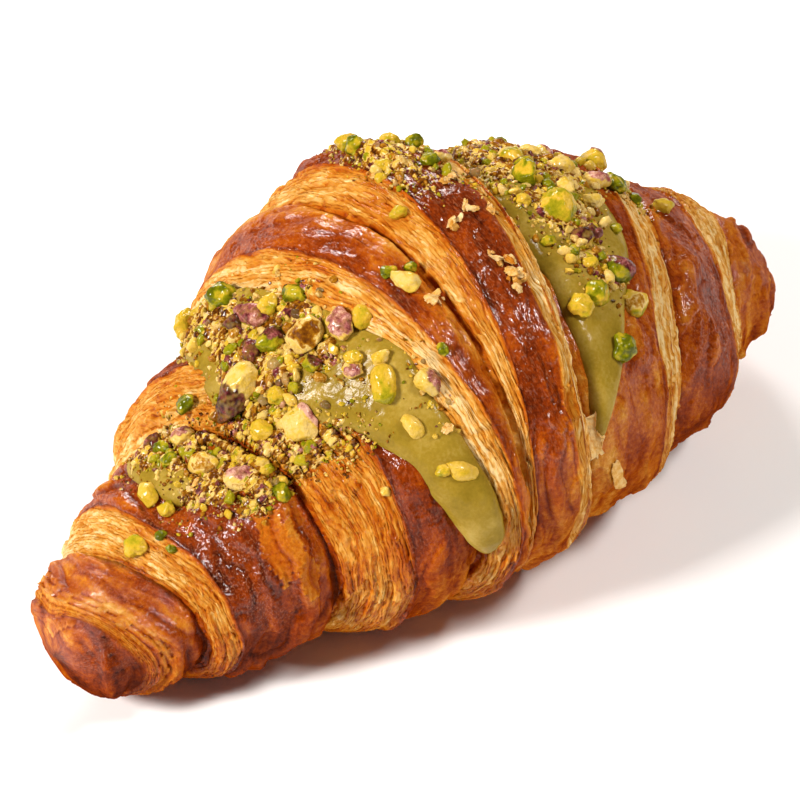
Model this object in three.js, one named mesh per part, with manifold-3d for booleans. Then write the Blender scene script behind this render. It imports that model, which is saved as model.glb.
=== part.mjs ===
// A croissant filled and topped with pistachio cream and chopped pistachios.
// One triangle of laminated dough is rolled up, so that each wrap steps down to the one under it
// on the way from the thick middle to the two tips. Millimetres, +Z up. X runs from tip to tip,
// -Y is the front, and the origin is under the middle, on the surface that the croissant rests on.
import * as THREE from "three";
import { mergeVertices } from "three/addons/utils/BufferGeometryUtils.js";
import Module from "manifold-3d";

const wasm = await Module();
wasm.setup();

// ---- driving dimensions ----
const LENGTH = 178; // tip to tip
const HALF = LENGTH / 2;
const CROWN = 0.9; // height of the round section over its width
const SEAT = 0.12; // share of the radius that is pressed flat where it rests
const SEAT_HALF = 34; // the flat underside reaches this far from the middle
const LIFT = { left: 7.6, right: 9.9 }; // how far the tips' undersides rise
const BEND = -2.7; // how far both tips curve to the front
const MIDDLE = -0.09; // sets the middle of the whole width over the origin
const TUCK = { front: 0.08, back: 0.055 }; // how much the lower sides draw in
const TIP_ROUND = 4; // length over which a tip's blunt end rounds off
const THIN = 12; // below this radius the steps between wraps fade away
const GAP = 0.3; // clearance between touching pieces

// Radius of the roll along its length: x, radius.
const RADIUS = [
  [-89, 10.4],
  [-83, 14],
  [-68, 19.8],
  [-47, 29.6],
  [-34, 34],
  [-20, 42.3],
  [-6, 45.8],
  [8, 46.2],
  [22, 42.7],
  [48, 35.2],
  [59, 29.4],
  [68, 23.2],
  [76, 20],
  [83, 15.4],
  [89, 9.6],
];

// Lines round the roll, from the left tip to the right. A "valley" is where a wrap's cut edge starts
// on the wrap below, and an "edge" is where that cut edge ends and the wrap's own skin begins.
// top, front and back are the line's x at those sides, bow moves it between them, and step is how far
// the edge stands above its valley.
const LINES = [
  { kind: "tip", top: -HALF, front: -HALF, back: -HALF },
  { kind: "valley", top: -86.5, front: -78.5, back: -85.5, step: 0.8 },
  { kind: "edge", top: -85, front: -76, back: -83.5, step: 0.8 },
  { kind: "valley", top: -74, front: -66.2, back: -79, step: 2.5 },
  { kind: "edge", top: -66.3, front: -61, back: -70.5, step: 2.5 },
  { kind: "valley", top: -47.5, front: -41.6, back: -61.3, step: 5.5 },
  { kind: "edge", top: -35.3, front: -30.2, back: -52.8, step: 5.5 },
  { kind: "valley", top: -28, front: -16, back: -36, step: 5 },
  { kind: "edge", top: -17.9, front: -11.2, back: -29, step: 5 },
  { kind: "valley", top: -7.1, front: -8, back: -12, step: 2.5 },
  { kind: "edge", top: 1, front: -6.8, back: -2, step: 2.5 },
  { kind: "edge", top: 15.5, front: 3.8, back: 22, step: 5.5 },
  { kind: "valley", top: 19, front: 6.5, back: 25, step: 5.5 },
  { kind: "edge", top: 47.4, front: 27.8, back: 51, step: 3.6 },
  { kind: "valley", top: 55, front: 36.5, back: 57, step: 3.6, bow: 1.5 },
  { kind: "edge", top: 68, front: 55.2, back: 68, step: 3.1 },
  { kind: "valley", top: 78.8, front: 66, back: 81, step: 3.1 },
  { kind: "tip", top: HALF, front: HALF, back: HALF },
];
const FULL_WIDTH = 5; // a cut edge narrower than this has a lower step
const EDGE_ROUND = 0.9; // how a cut edge rounds on its way up: 1 is a quarter of a sine wave
const SKIN_HOLLOW = 2.2; // how a skin sags on its way down: 1 is straight
const CROWN_SWELL = 1.2; // how far the widest, middle wrap swells between its two edges

// Cream: angle round the roll from the top towards the front, then the x of its two sides.
const CREAM_LEFT = {
  rise: 2.6,
  sides: [
    [-62, -34, -31],
    [-40, -41, -28.5],
    [-10, -45, -25],
    [10, -42, -22],
    [28, -33.5, -18.7],
    [45, -28.5, -18],
    [65, -25, -15.6],
    [84, -20.8, -14.4],
    [95, -17, -15.6],
  ],
};
const CREAM_RIGHT = {
  rise: 2.2,
  sides: [
    [-52, 30, 33],
    [-30, 24.5, 41],
    [0, 17.5, 42.5],
    [15, 15.5, 41],
    [30, 14.2, 36.5],
    [45, 12.6, 27],
    [58, 10.6, 19.8],
    [70, 9.2, 12.6],
    [75, 9.6, 10.8],
  ],
};
const CREAM_PATCH = {
  rise: 1.6,
  sides: [
    [-38, -60.5, -58.5],
    [-25, -62.5, -56],
    [-10, -62.5, -55],
    [5, -61, -56.5],
    [10, -60, -58],
  ],
};

// The largest pistachio pieces: x, angle round the roll, length, width, height, and the way the
// length points, turned from +X towards the front.
const PISTACHIOS = [
  [-41.5, -2, 13, 8.2, 5.4, 175],
  [-36.8, 21, 10, 7, 4.4, 95],
  [-24.8, 30.5, 9, 6, 4.2, 130],
  [-28.4, 5, 8.4, 7.4, 6.2, 10],
  [-31, -14, 10, 5.2, 4.6, 70],
  [-24.6, -7.5, 7, 5.2, 4.4, 65],
  [-20.5, 13.5, 5.6, 4.6, 4, 100],
  [-24, 43.5, 6.2, 3.6, 2.8, 80],
  [-20, 60.5, 7.6, 4.2, 2.8, 40],
  [-52.8, 3.5, 7.8, 5.2, 4.2, 50],
  [-49.6, 20.5, 7, 5.4, 3.4, 50],
  [-62.6, -7, 6, 4.6, 3.8, 115],
  [30.4, -12.5, 7, 5.4, 4.4, 85],
  [27.2, -1, 8, 5.6, 5.8, 110],
  [26.2, 12.3, 8.4, 8, 6.2, 95],
  [51, -14, 7.4, 6.2, 5.4, 125],
  [26.6, 23, 6, 4.8, 3.8, 105],
  [29.2, 34, 7, 6.2, 5, 10],
  [20.8, 38.5, 6.2, 5.6, 4.6, 15],
  [30.2, 43.5, 7.2, 5.8, 4.2, 140],
];
const SINK = 0.24; // share of a pistachio's height that sits in what carries it

// Mesh fineness.
const COLUMNS = 48;
const ROWS = { tip: 5, flank: 3, skin: 4 };
const CREAM_STEPS = { along: 18, across: 6 };

// ---- curves ----
const clamp = THREE.MathUtils.clamp;

// A smooth curve through a table's rows: column 0 against column n.
function curve(table, x, n = 1) {
  const last = table.length - 1;
  let i = 0;
  while (i < last - 1 && x > table[i + 1][0]) i += 1;
  const slope = (k) => {
    const a = table[Math.max(k - 1, 0)];
    const b = table[Math.min(k + 1, last)];
    return (b[n] - a[n]) / (b[0] - a[0]);
  };
  const [p, q] = [table[i], table[i + 1]];
  const h = q[0] - p[0];
  const t = clamp((x - p[0]) / h, 0, 1);
  const t2 = t * t;
  const t3 = t2 * t;
  return (
    (2 * t3 - 3 * t2 + 1) * p[n] +
    (t3 - 2 * t2 + t) * h * slope(i) +
    (3 * t2 - 2 * t3) * q[n] +
    (t3 - t2) * h * slope(i + 1)
  );
}

// x of one line at an angle round the roll.
function lineAt(line, angle) {
  const s = Math.sin(angle);
  const middle = (line.front + line.back) / 2 - line.top;
  const bow = (line.bow ?? 0) * Math.sin(2 * angle);
  return line.top + ((line.front - line.back) / 2) * s + middle * s * s + bow;
}

// ---- the wrapped roll ----

const CROWN_START = LINES.findIndex((line, i) => line.kind === "edge" && LINES[i + 1].kind === "edge");

// How far one line stands off the smooth roll at an angle.
function levelAt(k, angle) {
  const line = LINES[k];
  if (line.kind === "tip") return 0;
  const isOuter = line.kind === "valley" === k <= CROWN_START; // its cut edge lies towards the right
  const partner = LINES[isOuter ? k + 1 : k - 1];
  const width = Math.abs(lineAt(partner, angle) - lineAt(line, angle));
  const half = (line.step / 2) * Math.min(1, width / FULL_WIDTH);
  return line.kind === "edge" ? half : -half;
}

// How far the surface stands off the smooth roll between two neighbouring lines, t of the way across.
function relief(k, t, angle) {
  const [low, high] = [levelAt(k, angle), levelAt(k + 1, angle)];
  if (k === CROWN_START) return low + (high - low) * t + CROWN_SWELL * Math.sin(Math.PI * t);
  const onLeft = k < CROWN_START;
  const up = onLeft ? t : 1 - t; // 0 at the end nearer the tip
  const [outer, inner] = onLeft ? [low, high] : [high, low];
  const rise = isFlank(k) ? Math.sin((up * Math.PI) / 2) ** EDGE_ROUND : up ** SKIN_HOLLOW;
  return outer + (inner - outer) * rise;
}

// Whether the stretch after a line is a wrap's cut edge, and not its skin.
function isFlank(k) {
  return LINES[k].kind === (k < CROWN_START ? "valley" : "edge") && k !== CROWN_START;
}

// The surface's distance from the roll's core at x and an angle.
function coreDistance(x, angle, raised) {
  const [s, c] = [Math.sin(angle), Math.cos(angle)];
  const radius = curve(RADIUS, x);
  const under = Math.max(-c, 0) * (Math.max(s, 0) * TUCK.front + Math.max(-s, 0) * TUCK.back);
  const end = 1 - clamp((HALF - Math.abs(x)) / TIP_ROUND, 0, 1);
  const rounded = Math.sqrt(1 - end * end);
  return (radius * (1 - under) + raised * Math.min(1, radius / THIN)) * rounded;
}

// The same at any x, with the relief looked up.
function surfaceDistance(x, angle) {
  let k = 0;
  while (k < LINES.length - 2 && x > lineAt(LINES[k + 1], angle)) k += 1;
  const start = lineAt(LINES[k], angle);
  const width = Math.max(lineAt(LINES[k + 1], angle) - start, 1e-3);
  return coreDistance(x, angle, relief(k, clamp((x - start) / width, 0, 1), angle));
}

// A point at a distance from the core, pressed flat where it would go through the seat.
function place(x, angle, distance) {
  const radius = curve(RADIUS, x);
  const out = clamp((Math.abs(x) - SEAT_HALF) / (HALF - SEAT_HALF), 0, 1);
  const seat = (x < 0 ? LIFT.left : LIFT.right) * out * out;
  const core = seat + (CROWN - SEAT) * radius;
  const y = MIDDLE + BEND * (x / HALF) ** 2 - distance * Math.sin(angle);
  return new THREE.Vector3(x, y, Math.max(core + CROWN * distance * Math.cos(angle), seat));
}

// x of each row of the mesh at one angle, with the relief there; rows keep to the lines.
function rowsAt(angle) {
  const rows = [];
  for (let k = 0; k < LINES.length - 1; k += 1) {
    const [a, b] = [LINES[k], LINES[k + 1]];
    const [from, to] = [lineAt(a, angle), lineAt(b, angle)];
    const isTip = a.kind === "tip" || b.kind === "tip";
    const count = isTip ? ROWS.tip : isFlank(k) ? ROWS.flank : ROWS.skin;
    for (let i = 0; i < count; i += 1) {
      let t = i / count;
      if (a.kind === "tip") t = 1 - Math.cos((t * Math.PI) / 2);
      if (b.kind === "tip") t = Math.sin((t * Math.PI) / 2);
      rows.push([from + (to - from) * t, relief(k, t, angle)]);
    }
  }
  return rows.slice(1); // the first row would be the tip's own point
}

// The whole roll as one closed surface, grown outwards by a margin.
function rollGeometry(margin) {
  const points = [];
  const columns = [];
  for (let j = 0; j < COLUMNS; j += 1) {
    const angle = -Math.PI + (2 * Math.PI * j) / COLUMNS;
    columns.push(rowsAt(angle).map(([x, up]) => place(x, angle, coreDistance(x, angle, up) + margin)));
  }
  const rows = columns[0].length;
  for (let i = 0; i < rows; i += 1) for (const column of columns) points.push(column[i]);
  const left = points.push(place(-HALF - margin, 0, 0)) - 1;
  const right = points.push(place(HALF + margin, 0, 0)) - 1;
  const index = [];
  for (let j = 0; j < COLUMNS; j += 1) {
    const next = (j + 1) % COLUMNS;
    for (let i = 0; i < rows - 1; i += 1) {
      const [p, q] = [i * COLUMNS + j, (i + 1) * COLUMNS + j];
      const [r, s] = [(i + 1) * COLUMNS + next, i * COLUMNS + next];
      index.push(p, s, r, p, r, q);
    }
    index.push(left, next, j);
    index.push(right, (rows - 1) * COLUMNS + j, (rows - 1) * COLUMNS + next);
  }
  return new THREE.BufferGeometry().setFromPoints(points).setIndex(index);
}

// ---- solids ----
function solidOf(geometry) {
  const bare = geometry.clone();
  bare.deleteAttribute("normal");
  bare.deleteAttribute("uv");
  const merged = mergeVertices(bare, 1e-4);
  return new wasm.Manifold(
    new wasm.Mesh({
      numProp: 3,
      vertProperties: new Float32Array(merged.attributes.position.array),
      triVerts: new Uint32Array(merged.index.array),
    }),
  );
}

// The largest body of a cut solid as a geometry, so that no sliver is left beside it.
function geometryOf(solid) {
  const bodies = solid.decompose().sort((a, b) => b.volume() - a.volume());
  const mesh = bodies[0].getMesh();
  return new THREE.BufferGeometry()
    .setAttribute("position", new THREE.BufferAttribute(new Float32Array(mesh.vertProperties), 3))
    .setIndex(new THREE.BufferAttribute(new Uint32Array(mesh.triVerts), 1));
}

const grownRoll = solidOf(rollGeometry(GAP));

// ---- cream ----
const CREAM_ROOT = 3; // how deep the uncut cream reaches into the roll
const CREAM_DIP = 0.5; // how far its rim dips into the roll
const CREAM_BULGE = { across: 3, along: 10 }; // powers of its rounded sections: higher is flatter

// Distance of the cream's top from the core: it bridges the roll between its two sides and swells.
function creamDistance(cream, x, angle) {
  const degrees = THREE.MathUtils.radToDeg(angle);
  const [first, last] = [cream.sides[0][0], cream.sides.at(-1)[0]];
  if (degrees <= first || degrees >= last) return -Infinity;
  const [from, to] = [curve(cream.sides, degrees), curve(cream.sides, degrees, 2)];
  const t = (x - from) / (to - from);
  if (t <= 0 || t >= 1) return -Infinity;
  const bridge = THREE.MathUtils.lerp(surfaceDistance(from, angle), surfaceDistance(to, angle), t);
  const across = Math.sqrt(1 - Math.abs(2 * t - 1) ** CREAM_BULGE.across);
  const along = (degrees - first) / (last - first);
  const ends = Math.sqrt(1 - Math.abs(2 * along - 1) ** CREAM_BULGE.along);
  const top = Math.max(bridge, surfaceDistance(x, angle)) + cream.rise * across * ends;
  return top - CREAM_DIP * (1 - across);
}

function creamGeometry(cream, margin) {
  const { along, across } = CREAM_STEPS;
  const [first, last] = [cream.sides[0][0], cream.sides.at(-1)[0]];
  const [top, bottom] = [[], []];
  for (let i = 0; i <= along; i += 1) {
    const degrees = first + (last - first) * (0.5 - 0.5 * Math.cos((Math.PI * i) / along));
    const angle = THREE.MathUtils.degToRad(degrees);
    const [from, to] = [curve(cream.sides, degrees) - margin, curve(cream.sides, degrees, 2) + margin];
    for (let j = 0; j <= across; j += 1) {
      const t = 0.5 - 0.5 * Math.cos((Math.PI * j) / across);
      const x = from + (to - from) * t;
      const roll = surfaceDistance(x, angle);
      const isRim = i === 0 || i === along || j === 0 || j === across;
      const rim = roll - CREAM_DIP;
      const over = isRim ? rim : Math.max(creamDistance(cream, x, angle), rim);
      top.push(place(x, angle, over + margin));
      bottom.push(place(x, angle, roll - CREAM_ROOT));
    }
  }
  return shellGeometry(top, bottom, along, across);
}

// A closed shell between two grids of points, one over the other.
function shellGeometry(top, bottom, along, across) {
  const count = top.length;
  const stride = across + 1;
  const index = [];
  const quad = (a, b, c, d) => index.push(a, b, c, a, c, d);
  for (let i = 0; i < along; i += 1)
    for (let j = 0; j < across; j += 1) {
      const a = i * stride + j;
      const [b, c, d] = [a + stride, a + stride + 1, a + 1];
      quad(a, b, c, d);
      quad(count + d, count + c, count + b, count + a);
    }
  for (let i = 0; i < along; i += 1) {
    const [a, b] = [i * stride, (i + 1) * stride];
    quad(count + a, count + b, b, a);
    quad(a + across, b + across, count + b + across, count + a + across);
  }
  for (let j = 0; j < across; j += 1) {
    const end = along * stride + j;
    quad(j, j + 1, count + j + 1, count + j);
    quad(count + end, count + end + 1, end + 1, end);
  }
  return new THREE.BufferGeometry().setFromPoints([...top, ...bottom]).setIndex(index);
}

const CREAMS = { cream_left: CREAM_LEFT, cream_right: CREAM_RIGHT, cream_patch: CREAM_PATCH };
const creamSolid = (cream) => solidOf(creamGeometry(cream, 0)).subtract(grownRoll);
const grownCreams = Object.values(CREAMS).map((cream) => solidOf(creamGeometry(cream, GAP)));

// ---- pistachios ----

// Even, repeatable noise from 0 to 1 for one piece and one place on it.
function noise(piece, spot) {
  const wave = Math.sin(piece * 12.9898 + spot * 78.233) * 43758.5453;
  return wave - Math.floor(wave);
}

// A chopped kernel: an oval with an uneven skin and a few straight cuts, which lie at shares of its
// radius from its middle and lean up.
const CUT = { count: 3, nearest: 0.62, spread: 0.25, lean: 0.2, leanSpread: 0.7 };
const ROUGH = 0.07; // how far the skin goes in and out, as a share of the radius

function kernelGeometry(piece, length, width, height) {
  const geometry = new THREE.IcosahedronGeometry(1, 1);
  const position = geometry.attributes.position;
  const point = new THREE.Vector3();
  const cuts = Array.from({ length: CUT.count }, (_, k) => {
    const turn = 2 * Math.PI * noise(piece, 10 + k);
    const lean = CUT.lean + CUT.leanSpread * noise(piece, 20 + k);
    return {
      normal: new THREE.Vector3(Math.cos(turn), Math.sin(turn), lean).normalize(),
      reach: CUT.nearest + CUT.spread * noise(piece, 30 + k),
    };
  });
  for (let i = 0; i < position.count; i += 1) {
    point.fromBufferAttribute(position, i);
    const [a, b, c] = point.toArray().map((value) => Math.round(40 * value)); // equal at shared corners
    point.multiplyScalar(1 - ROUGH + 2 * ROUGH * noise(piece, a + 7 * b + 13 * c));
    for (const { normal, reach } of cuts) {
      const over = point.dot(normal) - reach;
      if (over > 0) point.addScaledVector(normal, -over);
    }
    position.setXYZ(i, (point.x * length) / 2, (point.y * width) / 2, (point.z * height) / 2);
  }
  return geometry;
}

// Distance of the topmost surface, dough or cream, from the core.
function topDistance(x, angle) {
  const creams = Object.values(CREAMS).map((cream) => creamDistance(cream, x, angle));
  return Math.max(surfaceDistance(x, angle), ...creams);
}

// A frame on the topmost surface: +X along the piece, +Z out of the surface.
const FEEL = 2; // the surface's slope is taken over this far each way

function seatFrame(x, angle, direction, up) {
  const at = (dx, da) => place(x + dx, angle + da, topDistance(x + dx, angle + da));
  const turn = FEEL / curve(RADIUS, x);
  const alongX = at(FEEL, 0).sub(at(-FEEL, 0)).normalize();
  const round = at(0, turn).sub(at(0, -turn)).normalize();
  const normal = new THREE.Vector3().crossVectors(round, alongX).normalize();
  const way = THREE.MathUtils.degToRad(direction);
  const forward = alongX.multiplyScalar(Math.cos(way)).addScaledVector(round, Math.sin(way)).normalize();
  const side = new THREE.Vector3().crossVectors(normal, forward).normalize();
  const square = new THREE.Vector3().crossVectors(side, normal);
  const frame = new THREE.Matrix4().makeBasis(square, side, normal);
  return frame.setPosition(at(0, 0).addScaledVector(normal, up));
}

function pistachioGeometry(piece, [x, degrees, length, width, height, direction]) {
  const angle = THREE.MathUtils.degToRad(degrees);
  const frame = seatFrame(x, angle, direction, (0.5 - SINK) * height);
  const kernel = solidOf(kernelGeometry(piece, length, width, height).applyMatrix4(frame));
  return geometryOf(grownCreams.reduce((rest, cream) => rest.subtract(cream), kernel.subtract(grownRoll)));
}

// ---- the croissant ----
const crust = new THREE.MeshStandardMaterial({ color: 0xb4682a, roughness: 0.42, metalness: 0 });
const creamFinish = new THREE.MeshStandardMaterial({ color: 0xa8ab55, roughness: 0.3, metalness: 0 });
const nutFinish = new THREE.MeshStandardMaterial({ color: 0xb9a93a, roughness: 0.55, metalness: 0 });

function named(name, geometry, material) {
  const mesh = new THREE.Mesh(geometry, material);
  mesh.name = name;
  return mesh;
}

const croissant = new THREE.Group();
croissant.add(named("pastry", rollGeometry(0), crust));
for (const [name, cream] of Object.entries(CREAMS))
  croissant.add(named(name, geometryOf(creamSolid(cream)), creamFinish));
PISTACHIOS.forEach((row, i) => {
  const name = "pistachio_" + String(i + 1).padStart(2, "0");
  croissant.add(named(name, pistachioGeometry(i + 1, row), nutFinish));
});

export default croissant;
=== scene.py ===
"""The looks of a croissant with pistachio cream and chopped pistachios.

Metres in Blender, in the CAD frame: +X from the left tip to the right one, -Y the front, +Z up.
The dough's surface is worked out in millimetres from the same sizes as its solid, and then set on it.
"""

import math

import bpy
import numpy as np
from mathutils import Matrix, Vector
from mathutils.bvhtree import BVHTree


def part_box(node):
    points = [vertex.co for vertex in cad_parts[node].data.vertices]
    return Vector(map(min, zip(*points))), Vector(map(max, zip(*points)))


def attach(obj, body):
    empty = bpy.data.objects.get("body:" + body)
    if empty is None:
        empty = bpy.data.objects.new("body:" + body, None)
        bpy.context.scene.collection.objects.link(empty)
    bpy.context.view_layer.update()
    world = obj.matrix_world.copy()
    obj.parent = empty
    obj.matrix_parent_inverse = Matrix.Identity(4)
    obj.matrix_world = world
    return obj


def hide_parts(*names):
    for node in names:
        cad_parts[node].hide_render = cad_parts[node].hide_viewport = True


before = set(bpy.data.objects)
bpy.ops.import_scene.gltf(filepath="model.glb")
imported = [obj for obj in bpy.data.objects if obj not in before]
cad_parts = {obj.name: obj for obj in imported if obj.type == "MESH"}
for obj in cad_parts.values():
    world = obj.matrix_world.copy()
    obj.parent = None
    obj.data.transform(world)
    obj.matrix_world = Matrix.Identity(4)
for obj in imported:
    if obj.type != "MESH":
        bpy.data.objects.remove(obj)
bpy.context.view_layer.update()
MM = 0.001

# ---- sizes of the rolled dough, in millimetres, as in its solid ----
PASTRY_LOW, PASTRY_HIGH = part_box("pastry")
HALF = (PASTRY_HIGH.x - PASTRY_LOW.x) / 2 / MM
CROWN = 0.9  # height of the round section over its width
SEAT = 0.12  # share of the radius that is pressed flat underneath
SEAT_HALF = 34
LIFT_LEFT = 7.6
LIFT_RIGHT = 9.9
BEND = -2.7
MIDDLE = -0.09
TUCK_FRONT = 0.08
TUCK_BACK = 0.055
TIP_ROUND = 4
THIN = 12
RADIUS = [
    (-89, 10.4), (-83, 14), (-68, 19.8), (-47, 29.6), (-34, 34), (-20, 42.3), (-6, 45.8), (8, 46.2),
    (22, 42.7), (48, 35.2), (59, 29.4), (68, 23.2), (76, 20), (83, 15.4), (89, 9.6),
]  # fmt: skip

# Lines round the roll: kind, x at the top, the front and the back, step, bow. A wrap's cut edge rises
# from a valley to an edge, where its browned skin begins.
LINES = [
    ("tip", -HALF, -HALF, -HALF, 0, 0),
    ("valley", -86.5, -78.5, -85.5, 0.8, 0),
    ("edge", -85, -76, -83.5, 0.8, 0),
    ("valley", -74, -66.2, -79, 2.5, 0),
    ("edge", -66.3, -61, -70.5, 2.5, 0),
    ("valley", -47.5, -41.6, -61.3, 5.5, 0),
    ("edge", -35.3, -30.2, -52.8, 5.5, 0),
    ("valley", -28, -16, -36, 5, 0),
    ("edge", -17.9, -11.2, -29, 5, 0),
    ("valley", -7.1, -8, -12, 2.5, 0),
    ("edge", 1, -6.8, -2, 2.5, 0),
    ("edge", 15.5, 3.8, 22, 5.5, 0),
    ("valley", 19, 6.5, 25, 5.5, 0),
    ("edge", 47.4, 27.8, 51, 3.6, 0),
    ("valley", 55, 36.5, 57, 3.6, 1.5),
    ("edge", 68, 55.2, 68, 3.1, 0),
    ("valley", 78.8, 66, 81, 3.1, 0),
    ("tip", HALF, HALF, HALF, 0, 0),
]
NOSE = 0  # the stretch that is the nose's own skin, the most wrinkled one
CROWN_START = 10  # the stretch that is the widest, middle wrap's skin
FULL_WIDTH = 5
EDGE_ROUND = 0.9
SKIN_HOLLOW = 2.2
CROWN_SWELL = 1.2

# ---- fineness ----
COARSE = 1
COLUMNS = 720 // COARSE  # round the roll
CUT_ROW = 0.2 * COARSE  # row spacing on a cut edge
SKIN_ROW = 0.32 * COARSE  # row spacing on a browned skin
FACING = math.radians(15)  # the side with the closest columns
ROLL_RADIUS = 40  # the roll's usual radius
TOP_RADIUS = 42  # its usual radius out to the toppings
ROLL_MAP = 100  # millimetres to one unit of the crust's map, along the roll and round it

# ---- noise ----
GRADIENTS = np.array(
    [(x, y, z) for x in (-1, 0, 1) for y in (-1, 0, 1) for z in (-1, 0, 1) if abs(x) + abs(y) + abs(z) == 2],
    float,
)
SHUFFLE = np.random.default_rng(7).permutation(256)


def noise(x, y, z=0.0, seed=0):
    """Smooth gradient noise, about -1 to 1, one bump to each unit of length."""
    x, y, z = np.broadcast_arrays(np.asarray(x, float), y, z)
    cells = [np.floor(v).astype(int) for v in (x, y, z)]
    parts = [v - c for v, c in zip((x, y, z), cells)]
    fades = [p * p * p * (p * (p * 6 - 15) + 10) for p in parts]
    total = np.zeros(x.shape)
    for corner in range(8):
        step = (corner & 1, corner >> 1 & 1, corner >> 2)
        spot = SHUFFLE[(cells[0] + step[0] + 31 * seed) & 255]
        spot = SHUFFLE[(spot + cells[1] + step[1]) & 255]
        spot = SHUFFLE[(spot + cells[2] + step[2]) & 255]
        way = GRADIENTS[spot % 12]
        value = sum(way[..., n] * (parts[n] - step[n]) for n in range(3))
        for n in range(3):
            value = value * (fades[n] if step[n] else 1 - fades[n])
        total += value
    return total


def layered_noise(x, y, z=0.0, seed=0, octaves=3):
    """Noise with finer noise on top of it."""
    total = 0
    for n in range(octaves):
        total = total + noise(x * 2**n, y * 2**n, z * 2**n, seed + n) / 2**n
    return total


def noise_in(points, size, seed, shift=0.0):
    """Noise over points in space, one bump to each size in millimetres."""
    x, y, z = points.T
    return noise(x / size, y / size, z / size + shift, seed=seed)


def grains(u, v, size, seed):
    """Grains packed side by side: height 0 to 1 over each, and each one's own value, 0 to 1."""
    u, v = np.broadcast_arrays(np.asarray(u, float) / size, np.asarray(v, float) / size)
    near, own = np.full(u.shape, 9.0), np.zeros(u.shape)
    column, row = np.floor(u).astype(int), np.floor(v).astype(int)
    for step in range(9):
        i, j = column + step % 3 - 1, row + step // 3 - 1
        first = SHUFFLE[(SHUFFLE[(i + 31 * seed) & 255] + j) & 255]
        second = SHUFFLE[(first + 17) & 255]
        third = SHUFFLE[(second + 91) & 255]
        away = np.hypot(u - i - 0.15 - 0.7 * first / 255, v - j - 0.15 - 0.7 * second / 255)
        own = np.where(away < near, third / 255, own)
        near = np.minimum(near, away)
    return np.sqrt(np.maximum(0, 1 - (near / 0.72) ** 2)), own


def smoothstep(low, high, value):
    """0 below low, 1 above high, and a smooth ramp between them."""
    t = np.clip((value - low) / (high - low), 0, 1)
    return t * t * (3 - 2 * t)


def mix(a, b, t):
    """a at t = 0, b at t = 1."""
    return a + (b - a) * t


def bell(distance, width):
    """1 at no distance, and falling away smoothly within about the width."""
    return np.exp(-((distance / width) ** 2))


def unit(ways):
    """Ways of length 1."""
    return ways / (np.linalg.norm(ways, axis=-1, keepdims=True) + 1e-9)


# ---- the rolled dough's form, in millimetres ----
def curve(table, x, column=1):
    """A smooth curve through a table's rows, as in the solid."""
    rows = np.array(table, float)
    at, value = rows[:, 0], rows[:, column]
    last = len(at) - 1
    low = np.maximum(np.arange(last + 1) - 1, 0)
    high = np.minimum(np.arange(last + 1) + 1, last)
    slope = (value[high] - value[low]) / (at[high] - at[low])
    x = np.asarray(x, float)
    i = np.clip(np.searchsorted(at, x) - 1, 0, last - 1)
    width = at[i + 1] - at[i]
    t = np.clip((x - at[i]) / width, 0, 1)
    t2, t3 = t * t, t * t * t
    return (
        (2 * t3 - 3 * t2 + 1) * value[i]
        + (t3 - 2 * t2 + t) * width * slope[i]
        + (3 * t2 - 2 * t3) * value[i + 1]
        + (t3 - t2) * width * slope[i + 1]
    )


def line_at(k, angle):
    """x of one line round the roll; real lines wander a little, which the solid leaves out."""
    kind, top, front, back, _step, bow = LINES[k]
    s = np.sin(angle)
    x = top + (front - back) / 2 * s + ((front + back) / 2 - top) * s * s + bow * np.sin(2 * angle)
    if kind == "tip":
        return x
    drift = 0.6 * noise(2.2 * np.cos(angle), 2.2 * np.sin(angle), 5.3 * k, seed=3)
    jag = 0.25 * noise(9 * np.cos(angle), 9 * np.sin(angle), 3.1 * k, seed=4)
    return x + (drift + jag) * smoothstep(0, 22, HALF - np.abs(x))


def is_cut(k):
    """Whether the stretch after a line is a wrap's cut edge, and not its skin."""
    return k != CROWN_START and LINES[k][0] == ("valley" if k < CROWN_START else "edge")


def level_at(k, angle):
    """How far one line stands off the smooth roll."""
    kind, step = LINES[k][0], LINES[k][4]
    if kind == "tip":
        return np.zeros_like(angle)
    outer = (kind == "valley") == (k <= CROWN_START)
    partner = k + 1 if outer else k - 1
    width = np.abs(line_at(partner, angle) - line_at(k, angle))
    half = step / 2 * np.minimum(1, width / FULL_WIDTH)
    return half if kind == "edge" else -half


def relief(k, t, angle):
    """How far the surface stands off the smooth roll, t of the way from line k to the next."""
    low, high = level_at(k, angle), level_at(k + 1, angle)
    if k == CROWN_START:
        return low + (high - low) * t + CROWN_SWELL * np.sin(np.pi * t)
    on_left = k < CROWN_START
    up = t if on_left else 1 - t
    outer, inner = (low, high) if on_left else (high, low)
    rise = np.sin(up * np.pi / 2) ** EDGE_ROUND if is_cut(k) else up**SKIN_HOLLOW
    return outer + (inner - outer) * rise


def core_distance(x, angle, raised):
    """The surface's distance from the roll's core."""
    s, c = np.sin(angle), np.cos(angle)
    radius = curve(RADIUS, x)
    under = np.maximum(-c, 0) * (np.maximum(s, 0) * TUCK_FRONT + np.maximum(-s, 0) * TUCK_BACK)
    end = 1 - np.clip((HALF - np.abs(x)) / TIP_ROUND, 0, 1)
    return (radius * (1 - under) + raised * np.minimum(1, radius / THIN)) * np.sqrt(1 - end * end)


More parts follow.
